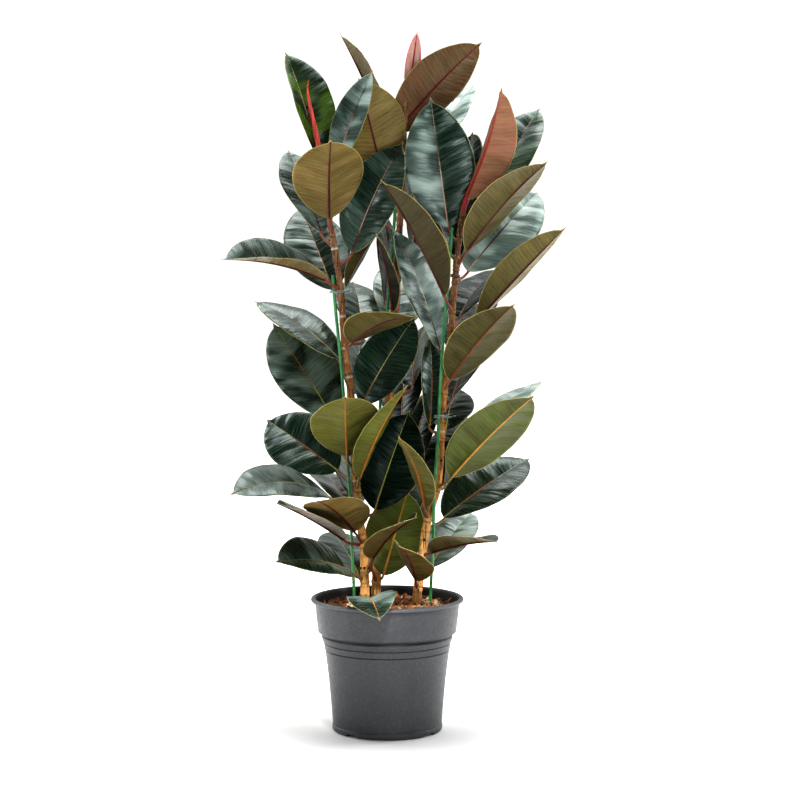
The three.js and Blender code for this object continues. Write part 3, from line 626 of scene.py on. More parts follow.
def under_leaf():
    """The leaf's duller underside, with a flush of its own along the midrib."""
    look = Look("leaf_under", Specular_IOR_Level=0.3, Specular_Tint=(1.0, 0.96, 0.75, 1.0))
    main, fine = side_veins(look)
    share, tone = [look.attribute("leaf_kind", part) for part in range(2)]
    outward = look.math("ABSOLUTE", look.attribute("leaf_place", 1))
    young = look.times(look.ramp(tone, 0.32, 0.16), look.ramp(share, 0.75, 0.1))
    body = look.layers(
        look.colours(tone, UNDER_TONES),
        ("#484318", look.ramp(look.noise(18.0, 4.0), 0.35, 0.7), 0.4),
        ("#a0604a", young, 0.7),
        ("#938a5c", look.ramp(vein_streaks(look, 3.2, 26.0), 0.35, 0.65), 0.22),
        ("#332a10", look.ramp(vein_streaks(look, 19.0, 60.0), 0.35, 0.65), 0.34),
        ("#c9b98a", look.ramp(look.noise(420.0, 2.0), 0.45, 0.7), 0.06),
        ("#b09a50", main, 0.14),
        ("#3a3010", fine, 0.08),
        (look.colours(tone, FLUSH_TONES), look.rest(look.ramp(outward, 1.0, 3.5)), 0.3),
    )
    # The underside's colour factor: partly the leaf's own colour, partly painted shade.
    body = look.mix(1.0, body, look.attribute("leaf_own", 0), "MULTIPLY")
    body = look.mix(leaf_edge(look), body, "#a8995a")
    rough = look.ramp(share, 0.0, 1.0, 0.5, 0.44)
    relief = leaf_relief(look, look.weigh(main, 0.7, fine, 0.2), 0.004, 0.0007, 0.00006)
    return look.set(Base_Color=body, Roughness=rough, Normal=relief)


def leaf_rib():
    """Stalk and raised midrib: pink to reddish-brown, greener or orange on old leaves."""
    look = Look("leaf_rib", Roughness=0.45, Specular_IOR_Level=0.3)
    share, tone = [look.attribute("leaf_kind", part) for part in range(2)]
    stalk, rib = look.colours(tone, STALK_TONES), look.colours(tone, RIB_TONES)
    body = look.mix(look.ramp(share, -0.02, 0.04), stalk, rib)
    body = look.layers(body, ("#3a1c10", look.ramp(look.noise(120.0, 4.0), 0.35, 0.7), 0.15))
    return look.set(Base_Color=body, Normal=look.bump(look.noise(500.0, 3.0), 0.00012))


def stem_bark():
    """Tan below, darker and redder above, with pale pores and fine upright cracks."""
    look = Look("stem_bark", Roughness=0.72, Specular_IOR_Level=0.3)
    height, scar, pale = [look.attribute("stem_place", part) for part in range(3)]
    fibre = look.ramp(look.noise(260.0, 5.0, 0.6, (1.0, 1.0, 0.12)), 0.35, 0.68)
    fibre_share = look.ramp(look.ramp(height, 640.0, 250.0), 0.0, 1.0, 0.35, 0.75)
    crack = look.ramp(look.noise(330.0, 3.0, 0.5, (1.0, 1.0, 0.07)), 0.57, 0.66)
    body = look.layers(
        look.colours(look.ramp(height, 200.0, 900.0), STEM_TONES),
        ("#e2b272", fibre, fibre_share),
        ("#6a3d1c", look.ramp(look.noise(45.0, 5.0, 0.65), 0.5, 0.66), 0.7),
        ("#e0c79a", look.ramp(look.noise(420.0, 1.0, 0.4, (1.0, 1.0, 0.6)), 0.66, 0.74), 0.7),
        ("#331a0c", crack, 0.75),
        ("#3a1e10", scar, 0.75),
        ("#d9d2b8", pale, 0.85),
    )
    return look.set(Base_Color=body, Normal=look.bump(look.weigh(fibre, 0.5, crack, -0.8), 0.0006))


def upright_streaks(look, scale, squash):
    return look.ramp(look.noise(scale, 3.0, 0.5, (1.0, 1.0, squash)), 0.35, 0.65)


def sheath(name, ground, streaks, roughness):
    """The thin sheath round a stem's tip, with upright streaks."""
    look = Look(name, Roughness=roughness, Coat_Weight=0.2, Coat_Roughness=0.2)
    streak = upright_streaks(look, 300.0, 0.06)
    return look.set(Base_Color=look.mix(streak, ground, streaks), Normal=look.bump(streak, 0.0002))


def rose_leaf():
    """The rolled young leaf: dusty rose with pink edges."""
    look = Look("rose_leaf", Roughness=0.4, Coat_Weight=0.15, Coat_Roughness=0.25)
    edge = look.rest(look.ramp(look.attribute("leaf_place", 2), 0.5, 3.2))
    streak = upright_streaks(look, 240.0, 0.1)
    body = look.mix(edge, look.mix(streak, "#b57f74", "#c99c8c"), "#e06a6a")
    return look.set(Base_Color=body, Normal=look.bump(streak, 0.0002))


def stake_plastic():
    look = Look("stake_plastic", Roughness=0.34, Specular_IOR_Level=0.55)
    body = look.mix(look.ramp(look.noise(70.0, 4.0), 0.3, 0.75), "#27743c", "#3f9652")
    rings = look.noise(160.0, 1.0, 0.4, (0.1, 0.1, 1.0))
    return look.set(Base_Color=body, Normal=look.bump(rings, 0.0003))


def tie_coat(name, light, dark):
    look = Look(name, Roughness=0.42)
    body = look.mix(look.ramp(look.noise(260.0, 3.0), 0.35, 0.7), light, dark)
    return look.set(Base_Color=body, Normal=look.bump(look.noise(900.0, 2.0), 0.0001))


def pot_plastic():
    """Dark grey moulded plastic with pale specks and a faint grain, with painted shade near black inside,
    in its grooves and under its collar and bead, and a painted highlight on the bead.
    """
    look = Look("pot_plastic", Specular_IOR_Level=0.45)
    # Painted shade: where the points say, the plastic goes towards near black, in the grooves, under the
    # collar and bead, and inside.
    shade = look.attribute("pot_painted_light")
    body = look.layers(
        look.mix(look.ramp(look.noise(9.0, 5.0, 0.6), 0.3, 0.75), "#303135", "#3b3d40"),
        ("#b9bcc0", look.ramp(look.noise(620.0, 1.0, 0.3), 0.7, 0.78), 0.06),
        ("#9a9a98", look.ramp(look.noise(230.0, 4.0), 0.45, 0.8), 0.07),
        # Painted highlight: a paler grey where the value is below zero, along the rim's bead.
        ("#6c6f73", shade, -1.0),
    )
    rough = look.ramp(look.noise(160.0, 4.0), 0.3, 0.75, 0.4, 0.54)
    grain = look.bump(look.noise(1500.0, 2.0), 0.00006)
    return look.set(Base_Color=look.mix(shade, body, "#08080a"), Roughness=rough, Normal=grain)


def dark_mix():
    look = Look("dark_mix", Roughness=0.95)
    body = look.mix(look.ramp(look.noise(150.0, 5.0), 0.35, 0.7), "#140a06", "#361a0e")
    return look.set(Base_Color=body, Normal=look.bump(look.noise(260.0, 5.0), 0.002))


def bark_chip():
    """Wood and bark shreds, each with its own tint and with fibres along it."""
    look = Look("bark_chip", Roughness=0.86, Specular_IOR_Level=0.25)
    tint, across = [look.attribute("chip_kind", part) for part in range(2)]
    fibre = look.math("SINE", look.times(across, 9.0))
    relief = look.math("ADD", fibre, look.times(look.noise(420.0, 4.0), 2.4))
    mottle = look.ramp(look.noise(140.0, 4.0), 0.4, 0.7)
    body = look.layers(look.colours(tint, CHIP_TINTS), ("#6e3a20", mottle, 0.3))
    return look.set(Base_Color=body, Normal=look.bump(relief, 0.0005))


def pale_floor():
    """White paper that glows, weakly near the pot and fully away from it, so that it meets the white behind
    it: painted light far off and a painted shadow round the pot.
    """
    look = Look("pale_floor", Roughness=0.7, Specular_IOR_Level=0.1, Emission_Color="#ffffff")
    tone = look.mix(look.ramp(look.noise(3.0, 2.0), 0.3, 0.7), "#f4f4f4", "#eeeeee")
    place = look.add("ShaderNodeTexCoord").outputs["Object"]
    # Painted shadow: the glow is weakest about a point a little behind the pot and grows outwards.
    away = look.add("ShaderNodeVectorMath", {0: place, 1: PAINTED_SHADOW_CENTRE}, operation="DISTANCE")
    radius = away.outputs["Value"]
    glow = look.ramp(radius, FLOOR_GLOW["from"], FLOOR_GLOW["to"], FLOOR_GLOW["near"], FLOOR_GLOW["far"])
    return look.set(Base_Color=tone, Emission_Strength=glow)


# The upper side as lit, and a copy darkened to near black by painted shade for inner leaves.
UPPER = upper_leaf("leaf_upper", 0.62, 0.0)
UPPER_PAINTED_SHADE = upper_leaf("leaf_upper_painted_shade", 0.15, 0.8)
UNDER = under_leaf()
RIB = leaf_rib()
ROSE = rose_leaf()

# ---- Leaves ----

STATIONS = 96
STATION_CROWDING = 0.92  # below 1 they lie closer towards the tip
HALF_COLUMNS = 15
COLUMN_CROWDING = 1.45  # above 1 they lie closer towards the midrib
SWELLS = ((0.12, 3.0, 1.0), (0.5, 6.3, 1.7), (0.8, 11.7, 2.9))  # height, length and phase of each wave
EDGE_THICK = 0.28  # half the blade's thickness at its margin
MIDDLE_THICK = 0.22  # what is added to that at the midrib
RIB_STATIONS = 44
RIB_SIDES = 12
RIB_END = 0.97  # the share of the blade's length where the raised midrib ends
RIB_TIP = 0.4
STALK_STATIONS = 15
CLEAR_OF_MARGIN = 5  # stands for the distance from the margin on stalk and midrib


def direction_of(bearing, rise):
    b, r = math.radians(bearing), math.radians(rise)
    return np.array([math.cos(r) * math.cos(b), math.cos(r) * math.sin(b), math.sin(r)])


def turned(vector, axis, degrees):
    a = math.radians(degrees)
    across = np.cross(axis, vector)
    return vector * math.cos(a) + across * math.sin(a) + axis * axis.dot(vector) * (1 - math.cos(a))


def point_at(points, height):
    """The centreline's x, y, z and radius at a height."""
    for low, high in zip(points, points[1:]):
        if high[2] >= height:
            break
    share = (height - low[2]) / (high[2] - low[2])
    return np.array(low) + (np.array(high) - np.array(low)) * share


def outline(share):
    """Half the blade's width at a share of its length, as a share of its greatest half width."""
    body = np.sin(np.pi * np.minimum(share / BODY_END, 1)) ** BODY_FULLNESS
    tip = np.where(share > 0.5, TIP_WIDTH * (1 - share) / (1 - TIP_START), 0)
    return np.maximum(np.maximum(body, tip), TIP_END)


def midrib(base, row, share):
    """Place, forward, upper normal and right-hand side of the midrib at shares of its length."""
    bearing, rise, length, _ = row["blade"]
    along = direction_of(bearing, rise)
    up = turned(direction_of(bearing, rise + 90), along, row["roll"])
    turn = math.radians(row["droop"])
    radius = length / (2 * math.sin(turn / 2))
    angle = turn * (np.asarray(share, float)[:, None] - 0.5)
    place = base + along * radius * (np.sin(angle) + math.sin(turn / 2))
    place = place + up * radius * (np.cos(angle) - math.cos(turn / 2))
    forward = along * np.cos(angle) - up * np.sin(angle)
    normal = up * np.cos(angle) + along * np.sin(angle)
    return place, forward, normal, np.cross(forward, normal)


def leaf_base(row):
    """The stem's x, y, z and radius at a leaf, and the place where the leaf's blade begins."""
    stem = point_at(STEMS[row["stem"]], row["at"])
    bearing, rise, length = row["stalk"]
    return stem, stem[:3] + direction_of(bearing, rise) * length


def blade_surface(row, base, chance):
    """The blade's middle surface as a grid, its measures, and its rows' and columns' shares."""
    _, _, length, width = row["blade"]
    share = np.linspace(0, 1, STATIONS) ** STATION_CROWDING
    spread = np.linspace(-1, 1, 2 * HALF_COLUMNS + 1)
    column = np.sign(spread) * np.abs(spread) ** COLUMN_CROWDING
    place, _, normal, side = midrib(base, row, share)
    half = outline(share) * width / 2
    half[0] = PETIOLE_BLADE * 0.8
    across = column[None, :] * half[:, None]
    fold = math.radians(row["fold"])
    rounded = np.sqrt(across**2 + 2.0) - math.sqrt(2.0)
    along = share[:, None] * length + 0 * across
    lane = along - VEIN_SLANT * np.abs(across)
    edge = np.abs(column)[None, :] ** 2
    phase = chance * 40 + np.sign(across) * 0.8
    swell = sum(height * np.sin(lane / long + shift * phase) for height, long, shift in SWELLS)
    swell = swell * np.minimum(np.abs(across) / 16, 1) * (1 - 0.4 * edge)
    wave = np.sin(along / 15 + 2.3 * phase) * 0.8 * edge * np.minimum(half[:, None] / 25, 1)
    broad = np.sin(along / 33 + chance * 9) * np.sin(across / 24 + chance * 5) * 1.1
    arch = 0.2 * half[:, None] * np.abs(column) * (1 - np.abs(column))
    lift = rounded * math.sin(fold) + swell + wave + broad + arch
    out = across * math.cos(fold)
    surface = place[:, None] + side[:, None] * out[..., None] + normal[:, None] * lift[..., None]
    measures = np.stack([along, across, half[:, None] - np.abs(across)], -1)
    return surface, measures, share, column


def grid_normals(surface, towards):
    """Unit normals of a grid of points, on the side of the given directions."""
    along = np.gradient(surface, axis=0)
    across = np.gradient(surface, axis=1)
    normal = np.cross(across, along)
    size = np.linalg.norm(normal, axis=-1, keepdims=True)
    fallback = np.broadcast_to(towards[:, None], normal.shape)
    normal = np.where(size > 1e-6, normal / np.maximum(size, 1e-6), fallback)
    facing = np.sign((normal * fallback).sum(-1, keepdims=True))
    return normal * np.where(facing == 0, 1, facing)


def rib_path(row, stem, base):
    """The line of the stalk and of the midrib under the blade, its radii and shares."""
    share = np.linspace(0, RIB_END, RIB_STATIONS)
    place, forward, normal, _ = midrib(base, row, share)
    radius = RIB_TIP + (PETIOLE_BLADE + 0.1 - RIB_TIP) * (1 - share) ** 0.75
    under = place - normal * (0.55 * radius[:, None] + 0.2)
    bearing, rise, length = row["stalk"]
    root = stem[:3]
    out = root + direction_of(bearing, rise) * length * 0.55
    back = under[0] - forward[0] * length * 0.45
    t = np.linspace(0, 1, STALK_STATIONS + 1)[:-1, None]
    stalk = root * (1 - t) ** 3 + 3 * out * t * (1 - t) ** 2 + 3 * back * t**2 * (1 - t) + under[0] * t**3
    t = t[:, 0]
    joint = 0.5 * hump(t - 0.2, 0.1)
    waist = PETIOLE_ROOT + (PETIOLE_BLADE - PETIOLE_ROOT) * t + joint
    return np.vstack([stalk, under]), np.concatenate([waist, radius]), np.concatenate([t - 1.0, share])


def blade_faces(rows, columns):
    """Faces of the upper sheet, of the lower one and of the rim between them."""
    count = rows * columns
    loop = [i * columns for i in range(rows)]
    loop += [(rows - 1) * columns + j for j in range(1, columns)]
    loop += [i * columns + columns - 1 for i in range(rows - 2, -1, -1)]
    loop += range(columns - 2, 0, -1)
    rim = [[b, a, a + count, b + count] for a, b in zip(loop, loop[1:] + loop[:1])]
    return grid_faces(rows, columns, flip=True), grid_faces(rows, columns, start=count), rim


def make_leaf(row, number):
    name = row["name"]
    chance = random.Random(number * 7 + 3).random()
    stem, base = leaf_base(row)
    surface, measures, share, column = blade_surface(row, base, chance)
    _, _, normal, _ = midrib(base, row, share)
    half = EDGE_THICK + MIDDLE_THICK * (1 - np.abs(column)[None, :, None] ** 2)
    thick = grid_normals(surface, normal) * half
    rows, columns = surface.shape[:2]
    top, bottom, rim = blade_faces(rows, columns)
    path, radii, rib_share = rib_path(row, stem, base)
    rib_points, rib_faces = tube(path, radii, RIB_SIDES)
    rib_faces = [[i + 2 * rows * columns for i in face] for face in rib_faces]
    points = np.vstack([(surface + thick).reshape(-1, 3), (surface - thick).reshape(-1, 3), rib_points])
    kinds = [0] * len(top) + [1] * len(bottom + rim) + [2] * len(rib_faces)
    # Inner joined leaves on the centre and right stems, and the listed inner leaves, take the upper side
    # darkened by painted shade.
    inner = row["joined"] and row["stem"] != "left"
    upper = UPPER_PAINTED_SHADE if inner or name in PAINTED_SHADE_LEAVES else UPPER
    materials = [ROSE, ROSE, RIB] if name == "centre_19" else [upper, UNDER, RIB]
    piece = new_piece(f"leafpiece_{name}", points, top + bottom + rim + rib_faces, materials, kinds)
    blade_place = measures.reshape(-1, 3)
    rib_place = np.tile([0.0, 0.0, CLEAR_OF_MARGIN], (len(rib_points), 1))
    place = np.vstack([blade_place, blade_place, rib_place])
    give(piece, "leaf_place", place)
    shares = np.concatenate([np.repeat(share, columns)] * 2 + [np.repeat(rib_share, RIB_SIDES)])
    ones = np.ones(len(shares))
    give(piece, "leaf_kind", np.stack([shares, ones * row["tone"], ones * chance], -1))
    # Painted reflection: each half of the upper side has its own amount, blended across the midrib.
    left_reflection, right_reflection = PAINTED_REFLECTION.get(name, (0.0, 0.0))
    painted_reflection = left_reflection + (right_reflection - left_reflection) * (0.5 + 0.5 * np.tanh(place[:, 1] / 2))
    shade, green = UNDER_COLOUR_AND_PAINTED_SHADE.get(name, USUAL_SHADE), GREEN.get(name, 0.0)
    give(piece, "leaf_own", np.stack([ones * shade, painted_reflection, ones * green], -1))
    slot = "leaf_young" if name in YOUNG_LEAVES else "leaf_green"
    return part_of_plant(piece, slot, *([] if row["joined"] else [f"leaf_{name}"]))


# ---- Stems, stakes and ties ----

BARK = stem_bark()
RED = sheath("red_sheath", "#e4533c", "#a81f26", 0.38)
CRIMSON = sheath("crimson_sheath", "#b0202a", "#ea4a34", 0.36)
STEM_SIDES = 40
KNOB_RINGS = 7
KNOB_SIDES = 12


def scar_heights(name):
    """Heights of a stem's ring scars: one at each leaf, and the old ones between and below."""
    leaves = [row["at"] for row in LEAVES if row["stem"] == name]
    chance = random.Random(STEM_SEEDS[name])
    heights = [(at, 1.0) for at in leaves]
    z = OLD_SCARS["lowest"]
    while z < SHEATH_FROM[name] - 20:
        if min(abs(z - at) for at in leaves) > OLD_SCARS["clear"]:
            heights.append((z, chance.uniform(*OLD_SCARS["size"])))
        z += chance.uniform(*OLD_SCARS["apart"])
    return heights


def knob(middle, radius, dark, height):
    """A small round swelling: points, faces and the stem_place of its points."""
    points = []
    for i in range(KNOB_RINGS):
        down = math.pi * (i + 0.5) / KNOB_RINGS
        for j in range(KNOB_SIDES):
            turn = 2 * math.pi * j / KNOB_SIDES
            step = (math.sin(down) * math.cos(turn), math.sin(down) * math.sin(turn), math.cos(down))
            points.append([middle[k] + radius * step[k] for k in range(3)])
    faces = grid_faces(KNOB_RINGS, KNOB_SIDES, closed=True, flip=True) + caps(len(points), KNOB_SIDES)
    return points, faces, [(height, dark * KNOB_SCAR, 0)] * len(points)


def make_stem(name):
    path = smooth_path(STEMS[name], 1.6)
    radius = path[:, 3].copy()
    z = path[:, 2]
    scar = np.zeros(len(path))
    widths = [RING[part] for part in ("ridge", "groove", "swell")]
    for at, size in scar_heights(name):
        (ridge_width, ridge), (groove_width, groove), (swell_width, swell) = widths
        scarred = hump(z - at + RING["below"], groove_width)
        radius += hump(z - at, ridge_width) * ridge * size - scarred * groove * size
        scar = np.maximum(scar, scarred * size)
        radius += swell * size * hump(z - at - RING["above"], swell_width)
    radius[z > SHEATH_FROM[name]] = path[z > SHEATH_FROM[name], 3]
    turn = 2 * np.pi * np.arange(STEM_SIDES) / STEM_SIDES
    places = np.broadcast_arrays(np.cos(turn)[None] * 9, np.sin(turn)[None] * 9, z[:, None] * 0.22)
    places = np.stack(places, -1).reshape(-1, 3)
    grid = (len(path), STEM_SIDES)
    rough = wobble(places, 0.16, len(name)).reshape(grid)
    fibres = wobble(places * np.array([4, 4, 0.7]), 0.16, 2 + len(name)).reshape(grid)
    radii = radius[:, None] * (1 + 0.07 * rough) + 0.22 * fibres
    points, faces = tube(path[:, :3], radii, STEM_SIDES)
    tip = CRIMSON if name == "right" else RED
    ring_of = np.minimum(np.arange(len(faces)) // STEM_SIDES, len(path) - 1)
    kinds = (z[ring_of] > SHEATH_FROM[name]).astype(int).tolist()
    kinds[-2] = 0
    kinds[-1] = 1
    pale = sum(hump(z - at, RING["pale"]) for at in PALE_RINGS[name])
    place = [np.repeat(values, STEM_SIDES) for values in (z, scar, pale)]
    points, place = points.tolist(), np.stack(place, -1).tolist()
    for height, bearing, size, dark in KNOBS[name]:
        trunk = point_at(STEMS[name], height)
        turn = math.radians(bearing)
        reach = trunk[3] * 0.97
        middle = (trunk[0] + reach * math.cos(turn), trunk[1] + reach * math.sin(turn), height)
        more, sides, where = knob(middle, size, dark, height)
        faces += [[i + len(points) for i in face] for face in sides]
        kinds += [0] * len(sides)
        points += more
        place += where
    piece = new_piece(f"stempiece_{name}", points, faces, [BARK, tip], kinds)
    give(piece, "stem_place", place)
    fix_normals(piece)
    return part_of_plant(piece, "stem_bark", f"stem_{name}")


def make_stake(name, material):
    path = smooth_path(STAKES[name], 2.0)
    radius = np.full(len(path), STAKE_RADIUS) + 0.12 * np.sin(path[:, 2] * 1.1)
    radius[-1] = STAKE_RADIUS * 0.55
    points, faces = tube(path, radius, 20)
    piece = new_piece(f"stakepiece_{name}", points, faces, [material])
    return part_of_plant(piece, "stake_plastic", f"stake_{name}")


def tie_route(stem, height, bearing, tail):
    """The wire wound twice round a stem and its stake, with both ends led out."""
    trunk = point_at(STEMS[stem], height)
    stake = point_at(STAKES[stem], height)
    apart = math.hypot(trunk[0] - stake[0], trunk[1] - stake[1])
    facing = math.atan2(trunk[1] - stake[1], trunk[0] - stake[0])
    room = trunk[3] + TIE_RADIUS + TIE_SLACK
    long = apart / 2 + room
    short = room / math.sqrt(1 - (apart / 2 / long) ** 2)
    middle = np.array([(trunk[0] + stake[0]) / 2, (trunk[1] + stake[1]) / 2, height])
    begin = math.radians(bearing) - facing
    route = []
    last = TIE_WINDING["points"] - 1
    for i in range(TIE_WINDING["points"]):
        turn = begin + math.radians(TIE_WINDING["from"] + TIE_WINDING["sweep"] * i / last)
        a, b = long * math.cos(turn), short * math.sin(turn)
        x = a * math.cos(facing) - b * math.sin(facing)
        y = a * math.sin(facing) + b * math.cos(facing)
        route.append(middle + np.array([x, y, (i / last - 0.5) * TIE_WINDING["climb"]]))
    away = direction_of(bearing, TIE_WINDING["tail_rise"])
    return [route[0] + away * tail, *route, route[-1] + away * tail * 0.8]


def make_tie(name, stem, height, bearing, tail, material):
    path = smooth_path(tie_route(stem, height, bearing, tail), 0.7)
    points, faces = tube(path, TIE_RADIUS * TIE_COAT, 10)
    piece = new_piece(f"{name}_wire", points, faces, [material])
    return part_of_plant(piece, "tie_wire", name)


# ---- Pot and bark ----

POT_SIDES = 160
POT_SHARP = 50  # edges steeper than this many degrees stay sharp
SOIL_RINGS = 30
SOIL_SIDES = 96
CHIP_RINGS = 6
CHIP_SIDES = 6
CHIP_SHARP = 40
CHIP_TRIES = 1900
CHIP_SEED = 2024
CHIP_LENGTH = (9, 21)
CHIP_WIDTH = (3.2, 8.5)
CHIP_THICKNESS = (1.4, 4.2)
CHIP_TINT = (0.55, 0.3)  # mean and spread
CHIP_TILT = (0.5, 0.38)  # spread about its length and across it
SHORT_CHIPS = {"share": 0.35, "length": 0.6}


def arc(x, z, radius, start, end, steps=6):
    """Points of a rounding about x, z."""
    turns = np.radians(np.linspace(start, end, steps))
    return [(x + radius * math.cos(t), z + radius * math.sin(t)) for t in turns]


def pot_profile():
    """The pot's section from the middle of its underside, up its outside and down its inside.

    Each point is radius, height and how far painted shade darkens the plastic there, below zero a painted
    highlight where it is paler.
    """
    foot = BASE_RADIUS + 0.4
    step = BODY_TOP_RADIUS + RIDGE_STEP
    outside = [(0, 0), (40, 0), (BASE_RADIUS - 6, 0)]
    outside += arc(foot - 5, 5, 5, -80, 0)
    outside += [(foot, 9), (foot - 0.3, 9.6), (foot - 1.0, 10.4), (BASE_RADIUS - 0.4, 11.2)]
    outside += [(BASE_RADIUS + 1.8, 40), (BASE_RADIUS + 5.7, 80), (BASE_RADIUS + 9.6, 112)]
    outside = [(radius, height, 0) for radius, height in outside]
    # Painted shade in the grooves under the two ridges.
    for height, below in zip(reversed(RIDGE_HEIGHTS), (BODY_TOP_RADIUS, step + 0.7)):
        outside += [(below - 0.1, height - GROOVE, 0), (below, height - GROOVE * 0.5, 0.2)]
        outside += [(below - GROOVE, height - GROOVE * 0.35, 1), (below - GROOVE, height + GROOVE * 0.35, 1)]
        outside += [(below + 0.9, height + GROOVE * 0.4, 0.3), (below + RIDGE_STEP, height + GROOVE, 0)]
    # Painted shade on the neck under the collar.
    outside += [(NECK_RADIUS + 0.3, NECK - 3.2, 0), (NECK_RADIUS + 0.4, NECK - 1.2, 0)]
    outside += [(NECK_RADIUS + 0.4, NECK + 0.4, 0.4), (NECK_RADIUS - 0.4, NECK + 1.4, 1)]
    outside += [(NECK_RADIUS - 0.4, NECK + 4.6, 1), (COLLAR_FOOT_RADIUS - 3, COLLAR_FOOT - 0.6, 1)]
    # Painted shade fading out round the collar's rounded foot.
    rounding = arc(COLLAR_FOOT_RADIUS - 2.6, COLLAR_FOOT + 2.2, 2.6, -75, 0)
    outside += [(radius, height, shade) for (radius, height), shade in zip(rounding, FOOT_PAINTED_SHADES)]
    outside += [(COLLAR_FOOT_RADIUS + 0.6, COLLAR_FOOT + 9, 0), (COLLAR_TOP_RADIUS - 1.6, 184, 0)]
    outside += [(COLLAR_TOP_RADIUS, POT_HEIGHT - BEAD_HEIGHT - 2.4, 0)]
    # Painted shade under the rim's bead.
    outside += [(COLLAR_TOP_RADIUS + 0.1, POT_HEIGHT - BEAD_HEIGHT - 1.2, 0.8)]
    outside += [(COLLAR_TOP_RADIUS + 1.4, POT_HEIGHT - BEAD_HEIGHT, 0.8)]
    # The bead carries a painted highlight.
    bead = arc(RIM_RADIUS - 3.2, POT_HEIGHT - 3.25, 3.2, -82, 90, 12)
    bead += arc(COLLAR_TOP_RADIUS + 1.2, POT_HEIGHT - 2.2, 2.2, 90, 175)
    outside += [(radius, height, BEAD_PAINTED_HIGHLIGHT) for radius, height in bead]
    inside = [(COLLAR_TOP_RADIUS - POT_WALL, POT_HEIGHT - BEAD_HEIGHT)]
    inside += [(COLLAR_FOOT_RADIUS - POT_WALL, COLLAR_FOOT + 1), (NECK_RADIUS - POT_WALL - 1.2, NECK)]
    inside += [(BASE_RADIUS - POT_WALL - 0.6, 10), (BASE_RADIUS - 5, BASE_THICKNESS), (0, BASE_THICKNESS)]
    # The inside carries painted shade, near black.
    return outside + [(radius, height, INSIDE_PAINTED_SHADE) for radius, height in inside]


def lathe(profile, sides):
    """Points and faces of a closed turned body whose section starts and ends on the axis."""
    middle = profile[1:-1]
    turn = 2 * np.pi * np.arange(sides) / sides
    points = [(0, 0, profile[0][1]), (0, 0, profile[-1][1])]
    points += [(x * math.cos(t), x * math.sin(t), z) for x, z, _ in middle for t in turn]
    faces = grid_faces(len(middle), sides, start=2, closed=True)
    last = 2 + (len(middle) - 1) * sides
    for j in range(sides):
        k = (j + 1) % sides
        faces.append([0, 2 + k, 2 + j])
        faces.append([1, last + j, last + k])
    return points, faces


def notch_box(bearing):
    """Points and faces of the box that cuts one drain notch, narrower towards its top."""
    half = (NOTCH["depth"] / 2, NOTCH["width"] / 2, NOTCH["height"])
    points = []
    for corner in range(8):
        x, y, z = [half[k] * (1 if corner >> k & 1 else -1) for k in range(3)]
        x += BASE_RADIUS - half[0] + NOTCH["past_edge"]
        y *= 1.0 if z < 0 else NOTCH["top"]
        cos, sin = math.cos(bearing), math.sin(bearing)
        points.append((x * cos - y * sin, x * sin + y * cos, z))
    return points, [[0, 1, 3, 2], [4, 6, 7, 5], [0, 4, 5, 1], [2, 3, 7, 6], [0, 2, 6, 4], [1, 5, 7, 3]]


def cut_notches(pot):
    """Cuts the drain notches into the pot's lower edge."""
    cutters = []
    for i in range(NOTCH["count"]):
        points, faces = notch_box(math.radians(NOTCH["first"] + 360 / NOTCH["count"] * i))
        cutter = new_piece(f"notch_{i}", points, faces, [], smooth=False)
        fix_normals(cutter)
        modifier = pot.modifiers.new(f"notch_{i}", "BOOLEAN")
        modifier.operation = "DIFFERENCE"
        modifier.solver = "EXACT"
        modifier.object = cutter
        cutters.append(cutter)
    apply_modifiers(pot)
    for cutter in cutters:
        bpy.data.objects.remove(cutter)


def make_pot():
    profile = pot_profile()
    points, faces = lathe(profile, POT_SIDES)
    pot = new_piece("potpiece", points, faces, [pot_plastic()])
    # Painted shade and painted highlight for each point, from the profile.
    painted_shades = [profile[0][2], profile[-1][2]]
    painted_shades += [shade for _, _, shade in profile[1:-1] for _ in range(POT_SIDES)]
    give(pot, "pot_painted_light", painted_shades)
    fix_normals(pot)
    cut_notches(pot)
    sharpen(pot, POT_SHARP)
    return part_of_plant(pot, "pot_plastic", "pot")


def bark_level(x, y):
    """Height of the bark's surface under its chips."""
    share = math.hypot(x, y) / SOIL_RADIUS
    ripple = math.sin(x * 0.31 + 1.3) * math.cos(y * 0.27 - 0.4) + 0.7 * math.sin(x * 0.17 - y * 0.23 + 2.1)
    return SOIL_HEIGHT + SOIL_MOUND * max(0.0, 1 - share * share) + 1.2 * ripple - 2.0


def make_soil():
    """The mix under the chips, as a closed disc with a rough top."""
    points = []
    for i in range(SOIL_RINGS + 1):
        radius = max(0.5, SOIL_RADIUS * i / SOIL_RINGS)
        for j in range(SOIL_SIDES):
            turn = 2 * math.pi * j / SOIL_SIDES
            x, y = radius * math.cos(turn), radius * math.sin(turn)
            points.append((x, y, bark_level(x, y) + 1.6 * noise.noise(Vector((x, y, 0)) * 0.2)))
    points += [(x * 0.88, y * 0.88, STEM_FOOT) for x, y, _ in points[-SOIL_SIDES:]]
    faces = grid_faces(SOIL_RINGS + 2, SOIL_SIDES, closed=True)
    faces += [face[::-1] for face in caps(len(points), SOIL_SIDES)]
    soil = new_piece("barkpiece_mix", points, faces, [dark_mix()])
    fix_normals(soil)
    return part_of_plant(soil, "bark_mulch", "bark_soil")


